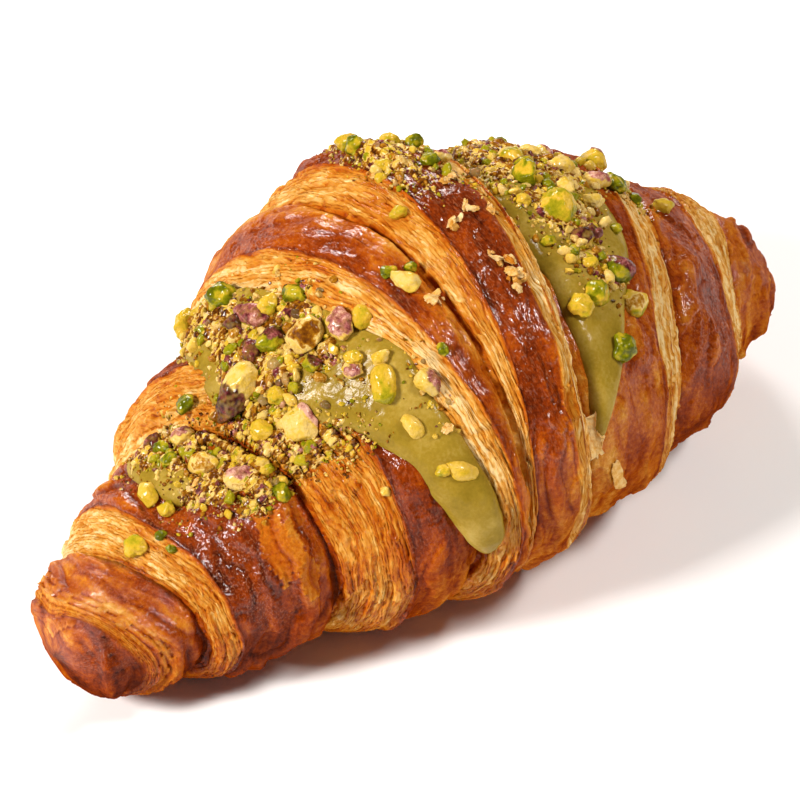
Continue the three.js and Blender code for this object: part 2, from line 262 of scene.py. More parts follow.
def place(x, angle, distance):
    """A point at a distance from the core, pressed flat where it would go through the seat."""
    x, angle, distance = np.broadcast_arrays(np.asarray(x, float), angle, distance)
    radius = curve(RADIUS, x)
    out = np.clip((np.abs(x) - SEAT_HALF) / (HALF - SEAT_HALF), 0, 1)
    seat = np.where(x < 0, LIFT_LEFT, LIFT_RIGHT) * out * out
    core = seat + (CROWN - SEAT) * radius
    y = MIDDLE + BEND * (x / HALF) ** 2 - distance * np.sin(angle)
    z = np.maximum(core + CROWN * distance * np.cos(angle), seat)
    return np.stack([x, y, z], axis=-1)


def surface_distance(x, angle):
    """The distance of the bare dough from the core at any x and angle."""
    x, angle = np.broadcast_arrays(np.asarray(x, float), np.asarray(angle, float))
    raised = np.zeros(x.shape)
    for k in range(len(LINES) - 1):
        start, end = line_at(k, angle), line_at(k + 1, angle)
        inside = (x >= start) & (x <= end)
        t = np.clip((x - start) / np.maximum(end - start, 1e-3), 0, 1)
        raised = np.where(inside, relief(k, t, angle), raised)
    return core_distance(x, angle, raised)


# ---- the dough's skins and cut edges ----
# How browned each skin is, 0 pale to 1 darkest: at its edge and at its valley side, each along the
# top, the front flank, low at the front, and the back; how much darker its middle is; then how
# glossy, how blistered and how folded.
SKINS = {
    0: ((0.58, 0.66, 1.04, 0.6), (0.6, 0.9, 1.16, 0.6), 0.0, 0.9, 0.7, 1.3),
    2: ((0.4, 0.38, 0.64, 0.42), (0.38, 0.44, 0.86, 0.38), 0.12, 1.0, 0.8, 1.2),
    4: ((0.7, 0.82, 0.84, 0.36), (0.58, 0.6, 0.62, 0.42), 0.06, 1.2, 0.4, 1.6),
    6: ((0.84, 0.84, 0.64, 0.64), (0.68, 0.68, 0.42, 0.56), 0.0, 0.8, 0.7, 0.9),
    8: ((0.68, 0.54, 0.44, 0.36), (0.38, 0.06, 0.22, 0.3), 0.12, 1.0, 0.6, 0.7),
    10: ((0.84, 0.62, 0.48, 0.54), (0.93, 0.63, 0.48, 0.56), 0.0, 1.1, 0.6, 0.8),
    12: ((0.7, 0.54, 0.5, 0.64), (0.54, 0.38, 0.4, 0.56), 0.06, 0.8, 0.6, 0.5),
    14: ((0.66, 0.7, 0.64, 0.6), (0.54, 0.54, 0.68, 0.52), 0.1, 1.1, 1.0, 0.4),
    16: ((0.56, 0.46, 0.54, 0.48), (0.42, 0.34, 0.42, 0.4), 0.1, 0.6, 0.5, 1.2),
}
# How browned each cut edge is at its valley and at its skin's edge, along the top, the front flank,
# low at the front, and the back; then the spacing of its thicker layers, and how deep they stand.
CUTS = {
    1: ((0.5, 0.5, 0.68, 0.5), (0.44, 0.46, 0.64, 0.44), 1.2, 0.5),
    3: ((0.2, 0.26, 0.52, -0.04), (0.36, 0.38, 0.68, 0.1), 1.3, 0.6),
    5: ((0.32, 0.4, 0.38, 0.18), (0.38, 0.5, 0.48, 0.24), 1.4, 0.65),
    7: ((0.16, 0.1, 0.34, 0.1), (0.28, 0.26, 0.52, 0.2), 1.2, 0.6),
    9: ((0.28, 0.16, 0.2, 0.18), (0.46, 0.42, 0.34, 0.36), 1.1, 0.55),
    11: ((0.24, 0.2, 0.3, 0.24), (0.28, 0.24, 0.34, 0.28), 1.0, 0.4),
    13: ((0.18, 0.18, 0.24, 0.22), (0.24, 0.22, 0.3, 0.28), 1.0, 0.4),
    15: ((0.22, 0.18, 0.26, 0.3), (0.28, 0.24, 0.32, 0.36), 1.0, 0.4),
}
STRAND = 0.62  # spacing of the finest layers, which the crust's finish draws
UNDER_TONE = 0.6  # how browned the flat underside is
DEEP_BROWN = 0.74  # past this tone a skin is held back, so that no spot burns black
HELD_BACK = 0.45
# Places where a skin's top layer has lifted: x, angle in degrees, half its length round the roll and
# half its width in millimetres, its tone, and its height.
PEELS = [
    (-50, 52, 7.5, 3.4, 0.42, 0.16), (-47, 70, 5.0, 2.2, 0.46, 0.16), (-57, 8, 3.4, 1.8, 0.34, 0.25),
    (-26, 62, 2.6, 1.1, 0.86, -0.15), (-33, 96, 3.2, 2.0, 0.3, 0.3), (4, 60, 3.2, 2.2, 0.4, 0.25),
    (9, 46, 4.0, 1.8, 0.26, 0.3),
]  # fmt: skip
# Skins folded like pages beside the smallest wrap's cut edge: how far the folds reach, and each one's width.
PAGES = {0: 3.0, 2: 4.0}
PAGE = 1.3


def along_side(values, angle):
    """A value given at the top, the front, low in front, and the back, at any angle."""
    stops = np.radians([-180, -90, 0, 60, 110, 180])
    top, front, low, back = values
    return np.interp(angle, stops, [low, back, top, front, low, low])


def dough_rows():
    """Rows of the dough's mesh: the stretch each is on, and how far across it is."""
    rows = []
    for k in range(len(LINES) - 1):
        widths = [abs(LINES[k + 1][n] - LINES[k][n]) for n in (1, 2, 3)]
        step = max(LINES[k][4], LINES[k + 1][4]) if is_cut(k) else 0
        width = math.hypot(sum(widths) / 3, step)
        count = max(6, round(width / (CUT_ROW if is_cut(k) else SKIN_ROW)))
        for i in range(count):
            t = i / count
            if LINES[k][0] == "tip":
                t = 1 - math.cos(t * math.pi / 2)
            if LINES[k + 1][0] == "tip":
                t = math.sin(t * math.pi / 2)
            rows.append((k, t))
    return rows[1:]


def cut_detail(k, up, width, angle, radius):
    """Height of the layers on a cut edge, how much darker they are, and each layer's number."""
    _foot, _head, rope, depth = CUTS[k]
    cx, cy = np.cos(angle) * radius, np.sin(angle) * radius
    across = up * width
    z = 7.3 * k

    def ripple(size, size_across, seed):
        return noise(cx / size, cy / size, across / size_across + z, seed=seed)

    drift = 1.6 * ripple(26, 7, 11)
    wave = 0.5 * ripple(8, 2.4, 12) + 0.12 * ripple(3.4, 1.4, 17) + 0.5 * ripple(24, 1.5, 37)
    # thick layers are rounded strands side by side, each with its own height and tone
    q = (across + drift + wave) / rope
    part = q - np.floor(q)
    strand = np.sqrt(np.maximum(0, 1 - (2 * part - 1) ** 2))
    own = noise(cx / 15, cy / 15, np.floor(q) * 3.7 + 0.5, seed=13)
    sheet = ripple(17, 3.4, 16) + 0.2 * ripple(3, 1.1, 18)
    ply = smoothstep(-0.035, 0.035, sheet)
    scales = ripple(1.3, 0.5, 19)
    crumbs = ripple(0.8, 0.6, 20)
    lift = np.clip(0.9 + 1.4 * own, 0.25, 1.8)
    height = 0.95 * lift * strand + 0.35 * (part - 0.5) + 0.9 * (ply - 0.5) + 0.7 * sheet
    height = (height - 0.6) * depth + 0.14 * scales + 0.1 * crumbs
    # painted shade: darker in the gaps between the strands and between their short lengths, lighter on
    # raised scales and crumbs; own and own_length are each layer's own tone
    shade = 0.16 * (1 - strand) ** 1.6 * np.clip(lift, 0.4, 1.2) + 0.2 * own
    shade = shade - 0.08 * (ply - 0.5) + 0.18 * sheet - 0.1 * scales - 0.06 * crumbs - 0.06
    wander = 0.3 * ripple(4.5, 2.2, 41) + 0.16 * ripple(1.9, 1.2, 42)
    length, own_length = grains(angle * radius / 7 + 0.3 * wave, (across + drift) / 1.7, 1.0, 45 + k)
    height = height + 0.2 * length - 0.15
    shade = shade + 0.16 * (own_length - 0.5) + 0.08 * (1 - length) ** 2
    number = (across + drift + wave + wander) / STRAND + 0.08 * scales + 0.8 * own_length + 100
    return height, shade, number


def skin_detail(k, t, width, x, angle, radius):
    """Height of the folds and blisters on a skin, how much darker they are, and its layers' numbers."""
    *_tones, blistered, folded = SKINS[k]
    cx, cy = np.cos(angle) * radius, np.sin(angle) * radius
    across = t * width
    z = 9.7 * k

    def ripple(size, size_across, seed, bend=0.0):
        return noise(cx / size, cy / size, across / size_across + bend + z, seed=seed)

    swell = layered_noise(cx / 12, cy / 12, x / 8.0, seed=21, octaves=2)
    bend = 0.5 * ripple(7, 5, 23)
    fold = ripple(16, 3.2, 22, bend)
    crease = (1 - np.minimum(1, 4.6 * np.abs(fold))) ** 1.4
    wrinkle = ripple(5, 0.75, 29, 2 * bend) * smoothstep(-0.1, 0.4, ripple(9, 4, 35))
    streak = ripple(10, 2.4, 27, bend)
    blister = np.maximum(0, layered_noise(cx / 1.9, cy / 1.9, x / 1.6, seed=24, octaves=3) - 0.05)
    pit = noise(cx / 0.9, cy / 0.9, x / 0.8, seed=26)
    calm = smoothstep(-0.35, 0.3, noise(cx / 11, cy / 11, x / 8, seed=28))
    sheet = ripple(12, 6, 30) + 0.14 * layered_noise(cx / 2.6, cy / 2.6, across / 1.6, seed=31)
    ply = smoothstep(0.215, 0.245, sheet)
    wrinkled, wrinkle_shade = (0.36, 0.35) if k == NOSE else (0.16, 0.1)
    height = 0.9 * swell + folded * (1.3 * fold - 0.4 * crease + wrinkled * wrinkle)
    height = height + 0.4 * blistered * blister * (0.2 + calm) + 0.04 * pit + 0.12 * streak + 0.3 * ply
    mottle = layered_noise(cx / 9, cy / 9, x / 3.2 + bend, seed=25, octaves=4)
    # painted shade from the relief: darker in the creases of the folds and in the hollows of the wrinkles
    # and pits, lighter on blisters, swells and lifted sheets; the mottle and the streaks are the skin's own
    # tone
    shade = 0.16 * mottle + 0.22 * crease * folded - 0.1 * blister - wrinkle_shade * wrinkle * folded
    shade = shade - 0.18 * streak - 0.08 * ply - 0.06 * swell - 0.1 * pit
    return height, shade, (across + 4 * bend + 1.5 * ripple(14, 6, 36)) / 0.8 + 100


def cut_stretch(k, up, width, angle, radius, inland):
    """A cut edge's detail: height, tone, shade, how much it is a cut, shine and layers' numbers."""
    foot, head, _rope, _depth = CUTS[k]
    slant = np.hypot(width, max(LINES[k][4], LINES[k + 1][4]))
    height, shade, number = cut_detail(k, up, slant, angle, radius)
    fade = smoothstep(0, 0.9, up * slant) * smoothstep(0, 0.5, (1 - up) * slant)
    rim = bell((1 - up) * slant, 0.6)
    valley = bell(up * slant, 0.7)
    height = height * (0.35 + 0.65 * fade) * np.minimum(1, slant / 3) - (0.7 * valley - 0.3 * rim) * inland
    tone = mix(along_side(foot, angle), along_side(head, angle), up**1.3) + shade
    # painted shade darkens the valley; the rim under the skin's edge is browned and also holds painted
    # shadow under the skin's lip
    tone = tone + (0.4 * rim + 0.4 * valley) * inland * np.minimum(1, width / 3.5)
    return height, tone, shade, 1 - 0.8 * rim, 0.36 + 0.3 * rim, number


def turn_pages(k, beside, x, angle, radius):
    """Height of skin folded like pages, at a distance beside its neighbour's cut edge, and its tone: painted
    shade at the foot of each fold.
    """
    arc = angle * radius
    wavy = beside + 0.5 * noise(x / 5, arc / 5, seed=43) + 0.12 * noise(x / 1.5, arc / 1.5, seed=44)
    leaf = wavy / PAGE % 1.0
    some = smoothstep(PAGES[k], PAGES[k] * 0.4, beside) * smoothstep(-120, -60, np.degrees(angle))
    # painted shade at the low foot of each fold, lighter up its slope
    return 0.75 * (leaf - 0.5) * some, (0.3 * bell(leaf, 0.16) - 0.14 * leaf) * some


def lift_peel(patch, x, angle, radius):
    """Where a lifted patch covers a skin, where it is curled, and a ring just beside it."""
    at_x, degrees, reach_round, reach_x = patch
    arc = angle * radius
    along_x = np.abs(x - at_x) / reach_x
    round_roll = np.abs(angle - math.radians(degrees)) * radius / reach_round
    far = np.maximum(np.maximum(along_x, round_roll), 0.72 * (along_x + round_roll))
    far = far + 0.4 * noise(x / 2.4, arc / 2.4, seed=33) + 0.16 * noise(x / 0.7, arc / 0.9, seed=34)
    covered = smoothstep(1.03, 0.97, far)
    return covered, covered * bell((1 - far) * reach_x, 0.45), smoothstep(1.16, 1.04, far) * (1 - covered)


def skin_stretch(k, t, up, width, x, angle, radius, inland):
    """A skin's detail: height, tone, shade, how much it is a cut, shine and layers' numbers."""
    edge_tones, low_tones, middle_tone, gloss, _blistered, _folded = SKINS[k]
    height, shade, number = skin_detail(k, t, width, x, angle, radius)
    degrees = np.degrees(angle)
    if k == CROWN_START:
        away = 2 * np.minimum(t, 1 - t)
        from_edge = np.minimum(t, 1 - t) * width
        from_valley = np.full(x.shape, 99.0)
    else:
        away = up
        from_edge = up * width
        from_valley = (1 - up) * width
    tone = mix(along_side(edge_tones, angle), along_side(low_tones, angle), smoothstep(0.1, 0.9, away))
    tone = tone + middle_tone * np.sin(np.pi * up) * smoothstep(-90, -10, degrees)
    if k == CROWN_START:
        tone = tone + 0.3 * (0.5 - t) * smoothstep(110, 40, degrees)
    # darker at the skin's own edge, which is browned, and painted shade in the valley at its other side
    tone = tone + shade + (0.24 * bell(from_edge, 0.5) + 0.28 * bell(from_valley, 0.7)) * inland
    height = height * smoothstep(-0.6, 1.4, from_edge)
    height = height + (0.3 * bell(from_edge, 0.6) - 0.7 * bell(from_valley, 0.9)) * inland
    cutness = 0.1 + 0.4 * np.exp(-from_edge / 1.2) + 0.35 * np.exp(-from_valley / 1.5)
    shine = gloss * (1 - 0.88 * smoothstep(math.radians(48), math.radians(100), angle))
    if k == CROWN_START:
        bare = smoothstep(2.9, 2.2, (1 - t) * width)
        tone = mix(tone, 0.22 + 0.6 * shade, bare)
        cutness = mix(cutness, 1.0, bare)
        shine = mix(shine, 0.25, bare)
    if k in PAGES:
        raised, darker = turn_pages(k, from_valley if k == NOSE else from_edge, x, angle, radius)
        height = height + raised
        # the pages' painted shade
        tone = tone + darker
    for *patch, peel_tone, lift in PEELS:
        covered, curled, ring_beside = lift_peel(patch, x, angle, radius)
        # darker in a ring just beside each lifted patch
        tone = mix(tone, peel_tone + 0.5 * shade, 0.85 * covered) - 0.1 * curled + 0.14 * ring_beside
        height = height + lift * covered + 0.25 * curled
        shine = shine * (1 - 0.6 * covered)
    return height, tone, shade, cutness, shine, number


def dough_surface():
    """Every point of the dough's surface in a grid of rows by columns, with its tones."""
    rows = dough_rows()
    u = np.linspace(-math.pi, math.pi, COLUMNS, endpoint=False)
    angle = u - 0.35 * np.sin(u - FACING)
    shape = (len(rows), COLUMNS)
    xs, raised, detail = (np.zeros(shape) for _ in range(3))
    tones = {title: np.zeros(shape) for title in ("bake", "cut", "gloss", "strand")}
    for k in range(len(LINES) - 1):
        spots = [n for n, row in enumerate(rows) if row[0] == k]
        t = np.array([rows[n][1] for n in spots])[:, None]
        start, end = line_at(k, angle), line_at(k + 1, angle)
        width = np.maximum(end - start, 0.05)
        x = start + (end - start) * t
        a = np.broadcast_to(angle, x.shape)
        radius = core_distance(x, a, 0.0)
        up = t if k < CROWN_START else 1 - t
        inland = smoothstep(4, 24, HALF - np.abs(x))
        if is_cut(k):
            found = cut_stretch(k, up, width, a, radius, inland)
        else:
            found = skin_stretch(k, t, up, width, x, a, radius, inland)
        height, tone, shade, cutness, shine, number = found
        under = smoothstep(math.radians(118), math.radians(150), np.abs(a))
        xs[spots] = x
        raised[spots] = relief(k, t, a)
        detail[spots] = height * (1 - 0.8 * under * (np.abs(x) < 60))
        tone = np.where(tone > DEEP_BROWN, DEEP_BROWN + HELD_BACK * (tone - DEEP_BROWN), tone)
        tones["bake"][spots] = mix(tone, UNDER_TONE + 0.5 * shade, under * 0.8)
        tones["cut"][spots] = cutness * (1 - under)
        tones["gloss"][spots] = shine * (1 - 0.8 * under)
        tones["strand"][spots] = number
    distance = core_distance(xs, angle, raised)
    points = place(xs, angle, distance)
    down_rows = np.gradient(points, axis=0)
    round_roll = np.roll(points, -1, axis=1) - np.roll(points, 1, axis=1)
    normal = np.cross(down_rows, round_roll)
    normal /= np.linalg.norm(normal, axis=-1, keepdims=True) + 1e-12
    outward = points - place(xs, angle, 0.3 * distance)
    normal *= np.sign((normal * outward).sum(-1, keepdims=True))
    points = points + normal * (detail * smoothstep(0, 3, HALF - np.abs(xs)))[..., None]
    points[..., 2] = np.maximum(points[..., 2], 0)
    round_uv = np.broadcast_to(angle * ROLL_RADIUS / ROLL_MAP, xs.shape)
    roll_uv = np.stack([xs / ROLL_MAP, round_uv], axis=-1)
    return rows, points, roll_uv, tones


def new_piece(name, points, faces, material, uv=None, tones=None, smooth=True):
    """A mesh from points in millimetres and faces, riding on the frame."""
    mesh = bpy.data.meshes.new(name)
    mesh.from_pydata((np.asarray(points) * MM).tolist(), [], faces)
    mesh.update()
    set_tones(mesh, tones or {})
    if uv is not None:
        corners = np.zeros(len(mesh.loops), int)
        mesh.loops.foreach_get("vertex_index", corners)
        layer = mesh.uv_layers.new(name="Roll")
        layer.data.foreach_set("uv", np.asarray(uv, np.float32)[corners].ravel())
    mesh.polygons.foreach_set("use_smooth", [smooth] * len(mesh.polygons))
    piece = bpy.data.objects.new(name, mesh)
    bpy.context.scene.collection.objects.link(piece)
    mesh.materials.append(material)
    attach(piece, "root")
    return piece


def set_tones(mesh, tones):
    """Stores each tone on a mesh's points, for its finish to read."""
    for title, values in tones.items():
        layer = mesh.attributes.new(title, "FLOAT", "POINT")
        layer.data.foreach_set("value", np.asarray(values, np.float32).ravel())


# ---- the wraps: each piece's name, and the line that it starts from ----
WRAPS = [
    ("nose_and_first_wrap", 0), ("second_wrap", 3), ("third_wrap", 5), ("fourth_wrap", 7),
    ("middle_wrap", 9), ("sixth_wrap", 12), ("seventh_wrap", 14), ("right_tip", 16),
]  # fmt: skip


def make_dough(material):
    """The wraps of dough, each a closed piece that ends inside its neighbours."""
    rows, points, roll_uv, tones = dough_surface()
    starts = [next(n for n, row in enumerate(rows) if row[0] == line) for _name, line in WRAPS]
    ends = starts[1:] + [len(rows) - 1]
    pieces = []
    for (name, _line), first, last in zip(WRAPS, starts, ends):
        part = slice(first, last + 1)
        ring = points[part].reshape(-1, 3)
        left_middle = place(-HALF, 0.0, 0.0) if first == 0 else points[first].mean(0)
        right_middle = place(HALF, 0.0, 0.0) if last == len(rows) - 1 else points[last].mean(0)
        i, j = np.meshgrid(np.arange(last - first), np.arange(COLUMNS), indexing="ij")
        a, b = i * COLUMNS + j, i * COLUMNS + (j + 1) % COLUMNS
        faces = np.stack([a, b, b + COLUMNS, a + COLUMNS], -1).reshape(-1, 4).tolist()
        left, right = len(ring), len(ring) + 1
        top = (last - first) * COLUMNS
        for n in range(COLUMNS):
            m = (n + 1) % COLUMNS
            faces.append([left, m, n])
            faces.append([right, top + n, top + m])
        uv = np.vstack([roll_uv[part].reshape(-1, 2), roll_uv[first].mean(0), roll_uv[last].mean(0)])
        values = {
            title: np.concatenate([grid[part].ravel(), [grid[first].mean(), grid[last].mean()]])
            for title, grid in tones.items()
        }
        body = np.vstack([ring, left_middle, right_middle])
        piece = new_piece(name, body, faces, material, uv, values)
        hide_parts("pastry")
        pieces.append(piece)
    return pieces


# ---- finishes ----
def linear(colour):
    """An sRGB hex colour as linear red, green, blue and alpha."""
    parts = [int(colour[n : n + 2], 16) / 255 for n in (1, 3, 5)]
    return [p / 12.92 if p <= 0.04045 else ((p + 0.055) / 1.055) ** 2.4 for p in parts] + [1]


def add(tree, kind, **values):
    """A node with its settings, in small letters, and its sockets, by name or number, linked or set."""
    node = tree.nodes.new("ShaderNode" + kind)
    for name, value in values.items():
        if name == "stops":
            for n, (at, colour) in enumerate(value):
                stop = node.color_ramp.elements[n] if n < 2 else node.color_ramp.elements.new(at)
                stop.position = at
                stop.color = linear(colour)
            continue
        if name[0].islower():
            setattr(node, name, value)
            continue
        socket = node.inputs[int(name[1:]) if name[0] == "_" else name.replace("_", " ")]
        if isinstance(value, bpy.types.Node):
            value = value.outputs[0]
        if isinstance(value, bpy.types.NodeSocket):
            tree.links.new(value, socket)
        else:
            socket.default_value = value
    return node


def new_finish(name):
    """An empty material and its node tree."""
    finish = bpy.data.materials.new(name)
    finish.use_nodes = True
    finish.node_tree.nodes.clear()
    return finish, finish.node_tree


CRUST_TONES = [
    (0.0, "#F8D595"), (0.07, "#F2C070"), (0.16, "#E4A54A"), (0.28, "#D68A2A"), (0.43, "#C46A14"),
    (0.58, "#AC4D08"), (0.72, "#903604"), (0.86, "#6C2403"), (1.0, "#441302"),
]  # fmt: skip


def baked_crust():
    """Laminated butter dough, egg-washed and baked: skins glossy brown, cut layers pale and dry."""
    finish, tree = new_finish("baked_crust")
    bake, cut, gloss, strand = (
        add(tree, "Attribute", attribute_name=title).outputs["Fac"]
        for title in ("bake", "cut", "gloss", "strand")
    )
    spot = add(tree, "TexCoord").outputs["Object"]
    rolled = add(tree, "UVMap", uv_map="Roll")
    # each layer of dough is a rounded strand, and has its own tone that drifts along it
    along = add(tree, "SeparateXYZ", Vector=rolled).outputs["Y"]
    part = add(tree, "Math", operation="FRACT", _0=strand)
    layer = add(tree, "Math", operation="FLOOR", _0=strand)
    from_middle = add(tree, "Math", operation="PINGPONG", _0=part, _1=0.5)
    layer_spot = add(tree, "CombineXYZ", X=along, Y=layer)
    layer_scale = add(tree, "Mapping", Vector=layer_spot, Scale=(16, 3.7, 1))
    layer_tone = add(tree, "TexNoise", Vector=layer_scale, Scale=1.0, Detail=3.0)
    gap = add(
        tree, "MapRange", interpolation_type="SMOOTHSTEP", Value=from_middle,
        From_Max=0.3, To_Min=1.0, To_Max=0.0,
    )
    broken_spot = add(tree, "Mapping", Vector=layer_spot, Scale=(42, 5.1, 1))
    broken = add(tree, "TexNoise", Vector=broken_spot, Scale=1.0, Detail=2.0)
    broken = add(tree, "MapRange", Value=broken, From_Min=0.36, From_Max=0.66)
    gap = add(tree, "Math", operation="MULTIPLY", _0=gap, _1=broken)
    # fibres 0.3 mm apart run along the layers, which the roll map stretches out along v
    stretched = add(tree, "Mapping", Vector=rolled, Scale=(1, 0.09, 1))
    fibres = add(tree, "TexNoise", Vector=stretched, Scale=300.0, Detail=4.0, Roughness=0.7)
    # the skin's speckle is 0.9 mm across and its pores 0.7 mm, coarser than real so that they show
    speckle = add(tree, "TexNoise", Vector=spot, Scale=1100.0, Detail=5.0, Roughness=0.75)
    pores = add(tree, "TexVoronoi", feature="SMOOTH_F1", Vector=spot, Scale=1400.0)
    texture = add(tree, "Mix", data_type="FLOAT", Factor=cut, _2=speckle, _3=fibres)
    # painted shade: darker in the texture's hollows and in the gaps between the layers; darker on some
    # layers, which is their own tone
    swing = add(tree, "Math", operation="SUBTRACT", _0=0.5, _1=texture)
    amount = add(tree, "MapRange", Value=cut, To_Min=0.75, To_Max=0.5)
    tone = add(tree, "Math", operation="MULTIPLY_ADD", _0=swing, _1=amount, _2=bake)
    own = add(tree, "Math", operation="SUBTRACT", _0=0.5, _1=layer_tone)
    own = add(tree, "Math", operation="MULTIPLY_ADD", _0=own, _1=0.7, _2=-0.04)
    lines = add(tree, "Math", operation="MULTIPLY_ADD", _0=gap, _1=0.24, _2=own)
    tone = add(tree, "Math", operation="MULTIPLY_ADD", _0=lines, _1=cut, _2=tone)
    colour = add(tree, "ValToRGB", Fac=tone, stops=CRUST_TONES)
    rounded = add(tree, "Math", operation="MULTIPLY", _0=gap, _1=cut)
    strand_bump = add(tree, "Bump", invert=True, Strength=0.8, Distance=0.0003, Height=rounded)
    fibre_bump = add(tree, "Bump", Strength=1.0, Distance=0.0008, Height=texture, Normal=strand_bump)
    pore_bump = add(tree, "Bump", Strength=0.4, Distance=0.0003, Height=pores, Normal=fibre_bump)
    # the egg wash has dried into short glassy flecks, 0.4 mm wide and drawn out round the roll, which shine
    # in the coat; on glossy skin they also carry a painted glint in the colour
    fleck_spot = add(tree, "Mapping", Vector=rolled, Scale=(1, 0.36, 1))
    flecks = add(
        tree, "TexNoise", Vector=fleck_spot, Scale=270.0, Detail=2.0, Roughness=0.5, Distortion=0.3
    )
    fleck = add(
        tree, "MapRange", interpolation_type="SMOOTHSTEP", Value=flecks, From_Min=0.52, From_Max=0.6
    )
    patches = add(tree, "TexNoise", Vector=fleck_spot, Scale=22.0, Detail=3.0, Roughness=0.6)
    patches = add(tree, "MapRange", Value=patches, From_Min=0.34, From_Max=0.56)
    fleck = add(tree, "Math", operation="MULTIPLY", _0=fleck, _1=patches)
    # painted glint: the colour is lightened towards a pale pink where the flecks lie on glossy skin
    painted_glint = add(tree, "Math", operation="MULTIPLY", _0=fleck, _1=gloss)
    painted_glint = add(tree, "Math", operation="MULTIPLY", _0=painted_glint, _1=0.2)
    colour = add(tree, "Mix", data_type="RGBA", _0=painted_glint, _6=colour, _7=linear("#D98A5C")).outputs[2]
    # the wash itself lies in ripples 2.4 mm across over the layers
    ripples = add(tree, "TexNoise", Vector=spot, Scale=420.0, Detail=2.0)
    ripple_bump = add(tree, "Bump", Strength=1.0, Distance=0.00016, Height=ripples, Normal=strand_bump)
    fleck_bump = add(tree, "Bump", Strength=1.0, Distance=0.00014, Height=flecks, Normal=ripple_bump)
    # the wash shines less at a grazing angle, as a broken film does
    skimming = add(tree, "LayerWeight", Blend=0.5).outputs["Facing"]
    facing = add(tree, "MapRange", Value=skimming, From_Min=0.5, From_Max=0.85, To_Min=1.0, To_Max=0.15)
    washed = add(tree, "Math", operation="MULTIPLY_ADD", _0=fleck, _1=0.4, _2=0.6)
    rough = add(tree, "MapRange", Value=gloss, To_Min=0.6, To_Max=0.36)
    coat = add(tree, "Math", operation="MULTIPLY", _0=gloss, _1=washed)
    coat = add(tree, "Math", operation="MULTIPLY", use_clamp=True, _0=coat, _1=facing)
    shader = add(
        tree, "BsdfPrincipled", Base_Color=colour, Roughness=rough, Normal=pore_bump,
        Coat_Weight=coat, Coat_Roughness=0.08, IOR=1.46, Coat_IOR=1.5,
        Specular_IOR_Level=0.0, Coat_Normal=fleck_bump,
    )
    add(tree, "OutputMaterial", Surface=shader)
    return finish


CREAM_TONES = [(0.25, "#80681A"), (0.5, "#967A26"), (0.75, "#B09446")]


def pistachio_cream():
    """Pistachio paste with butter and sugar, poured warm: smooth, dense and softly glossy."""
    finish, tree = new_finish("pistachio_cream")
    spot = add(tree, "TexCoord").outputs["Object"]
    # clouds of tone 9 mm across, and ground nut in it, 0.7 mm
    cloud = add(tree, "TexNoise", Vector=spot, Scale=110.0, Detail=3.0)
    specks = add(tree, "TexNoise", Vector=spot, Scale=1500.0, Detail=2.0)
    speck = add(tree, "Math", operation="MULTIPLY_ADD", _0=specks, _1=0.35, _2=-0.17)
    tone = add(tree, "Math", operation="ADD", _0=cloud, _1=speck)
    colour = add(tree, "ValToRGB", Fac=tone, stops=CREAM_TONES)
    bump = add(tree, "Bump", Strength=0.2, Distance=0.0003, Height=specks)
    waves = add(tree, "TexNoise", Vector=spot, Scale=260.0, Detail=2.0)
    wet = add(tree, "Bump", Strength=0.7, Distance=0.0007, Height=waves, Normal=bump)
    shader = add(
        tree, "BsdfPrincipled", Base_Color=colour, Roughness=0.46, Normal=bump,
        Subsurface_Weight=0.25, Subsurface_Radius=(0.004, 0.0025, 0.001), Subsurface_Scale=0.5,
        Coat_Weight=0.3, Coat_Roughness=0.17, Coat_IOR=1.4, Specular_IOR_Level=0.0, Coat_Normal=wet,
    )
    add(tree, "OutputMaterial", Surface=shader)
    return finish


NUT_FLESH = [
    (0.0, "#3E1C04"), (0.12, "#744008"), (0.24, "#A87012"), (0.34, "#DDBE72"), (0.46, "#D6B048"),
    (0.58, "#CCA42A"), (0.72, "#A8961A"), (0.86, "#7C7A08"), (1.0, "#525604"),
]  # fmt: skip
NUT_HUSK = [(0.0, "#36100E"), (0.35, "#6A2A2C"), (0.65, "#9C5652"), (1.0, "#D8A490")]


def chopped_nut():
    """Roasted, chopped pistachio: waxy yellow to green flesh, with papery purple skin in places."""
    finish, tree = new_finish("chopped_nut")
    hue, skin, pink = (
        add(tree, "Attribute", attribute_name=title).outputs["Fac"] for title in ("hue", "skin", "pink")
    )
    spot = add(tree, "TexCoord").outputs["Object"]
    # grain 0.8 mm across in the flesh, and streaks 1.4 mm across in the skin
    grain = add(tree, "TexNoise", Vector=spot, Scale=1300.0, Detail=4.0, Roughness=0.7)
    swing = add(tree, "Math", operation="MULTIPLY_ADD", _0=grain, _1=0.42, _2=-0.21)
    flesh_tone = add(tree, "Math", operation="ADD", _0=hue, _1=swing)
    streaks = add(tree, "TexNoise", Vector=spot, Scale=700.0, Detail=5.0, Roughness=0.75)
    streak = add(tree, "Math", operation="MULTIPLY_ADD", _0=streaks, _1=2.4, _2=-1.2)
    husk_tone = add(tree, "Math", operation="ADD", _0=pink, _1=streak)
    flesh = add(tree, "ValToRGB", Fac=flesh_tone, stops=NUT_FLESH)
    husk = add(tree, "ValToRGB", Fac=husk_tone, stops=NUT_HUSK)
    colour = add(tree, "Mix", data_type="RGBA", _0=skin, _6=flesh, _7=husk).outputs[2]
    bump = add(tree, "Bump", Strength=0.8, Distance=0.0004, Height=grain)
    shader = add(
        tree, "BsdfPrincipled", Base_Color=colour, Roughness=0.42, Normal=bump,
        Coat_Weight=0.5, Coat_Roughness=0.16, Coat_IOR=1.45, Specular_IOR_Level=0.0,
    )
    add(tree, "OutputMaterial", Surface=shader)
    return finish


def floor_paper():
    """Matt white paper under the croissant."""
    finish, tree = new_finish("floor_paper")
    shader = add(tree, "BsdfPrincipled", Base_Color=linear("#FFFFFF"), Roughness=0.9)
    add(tree, "OutputMaterial", Surface=shader)
    return finish


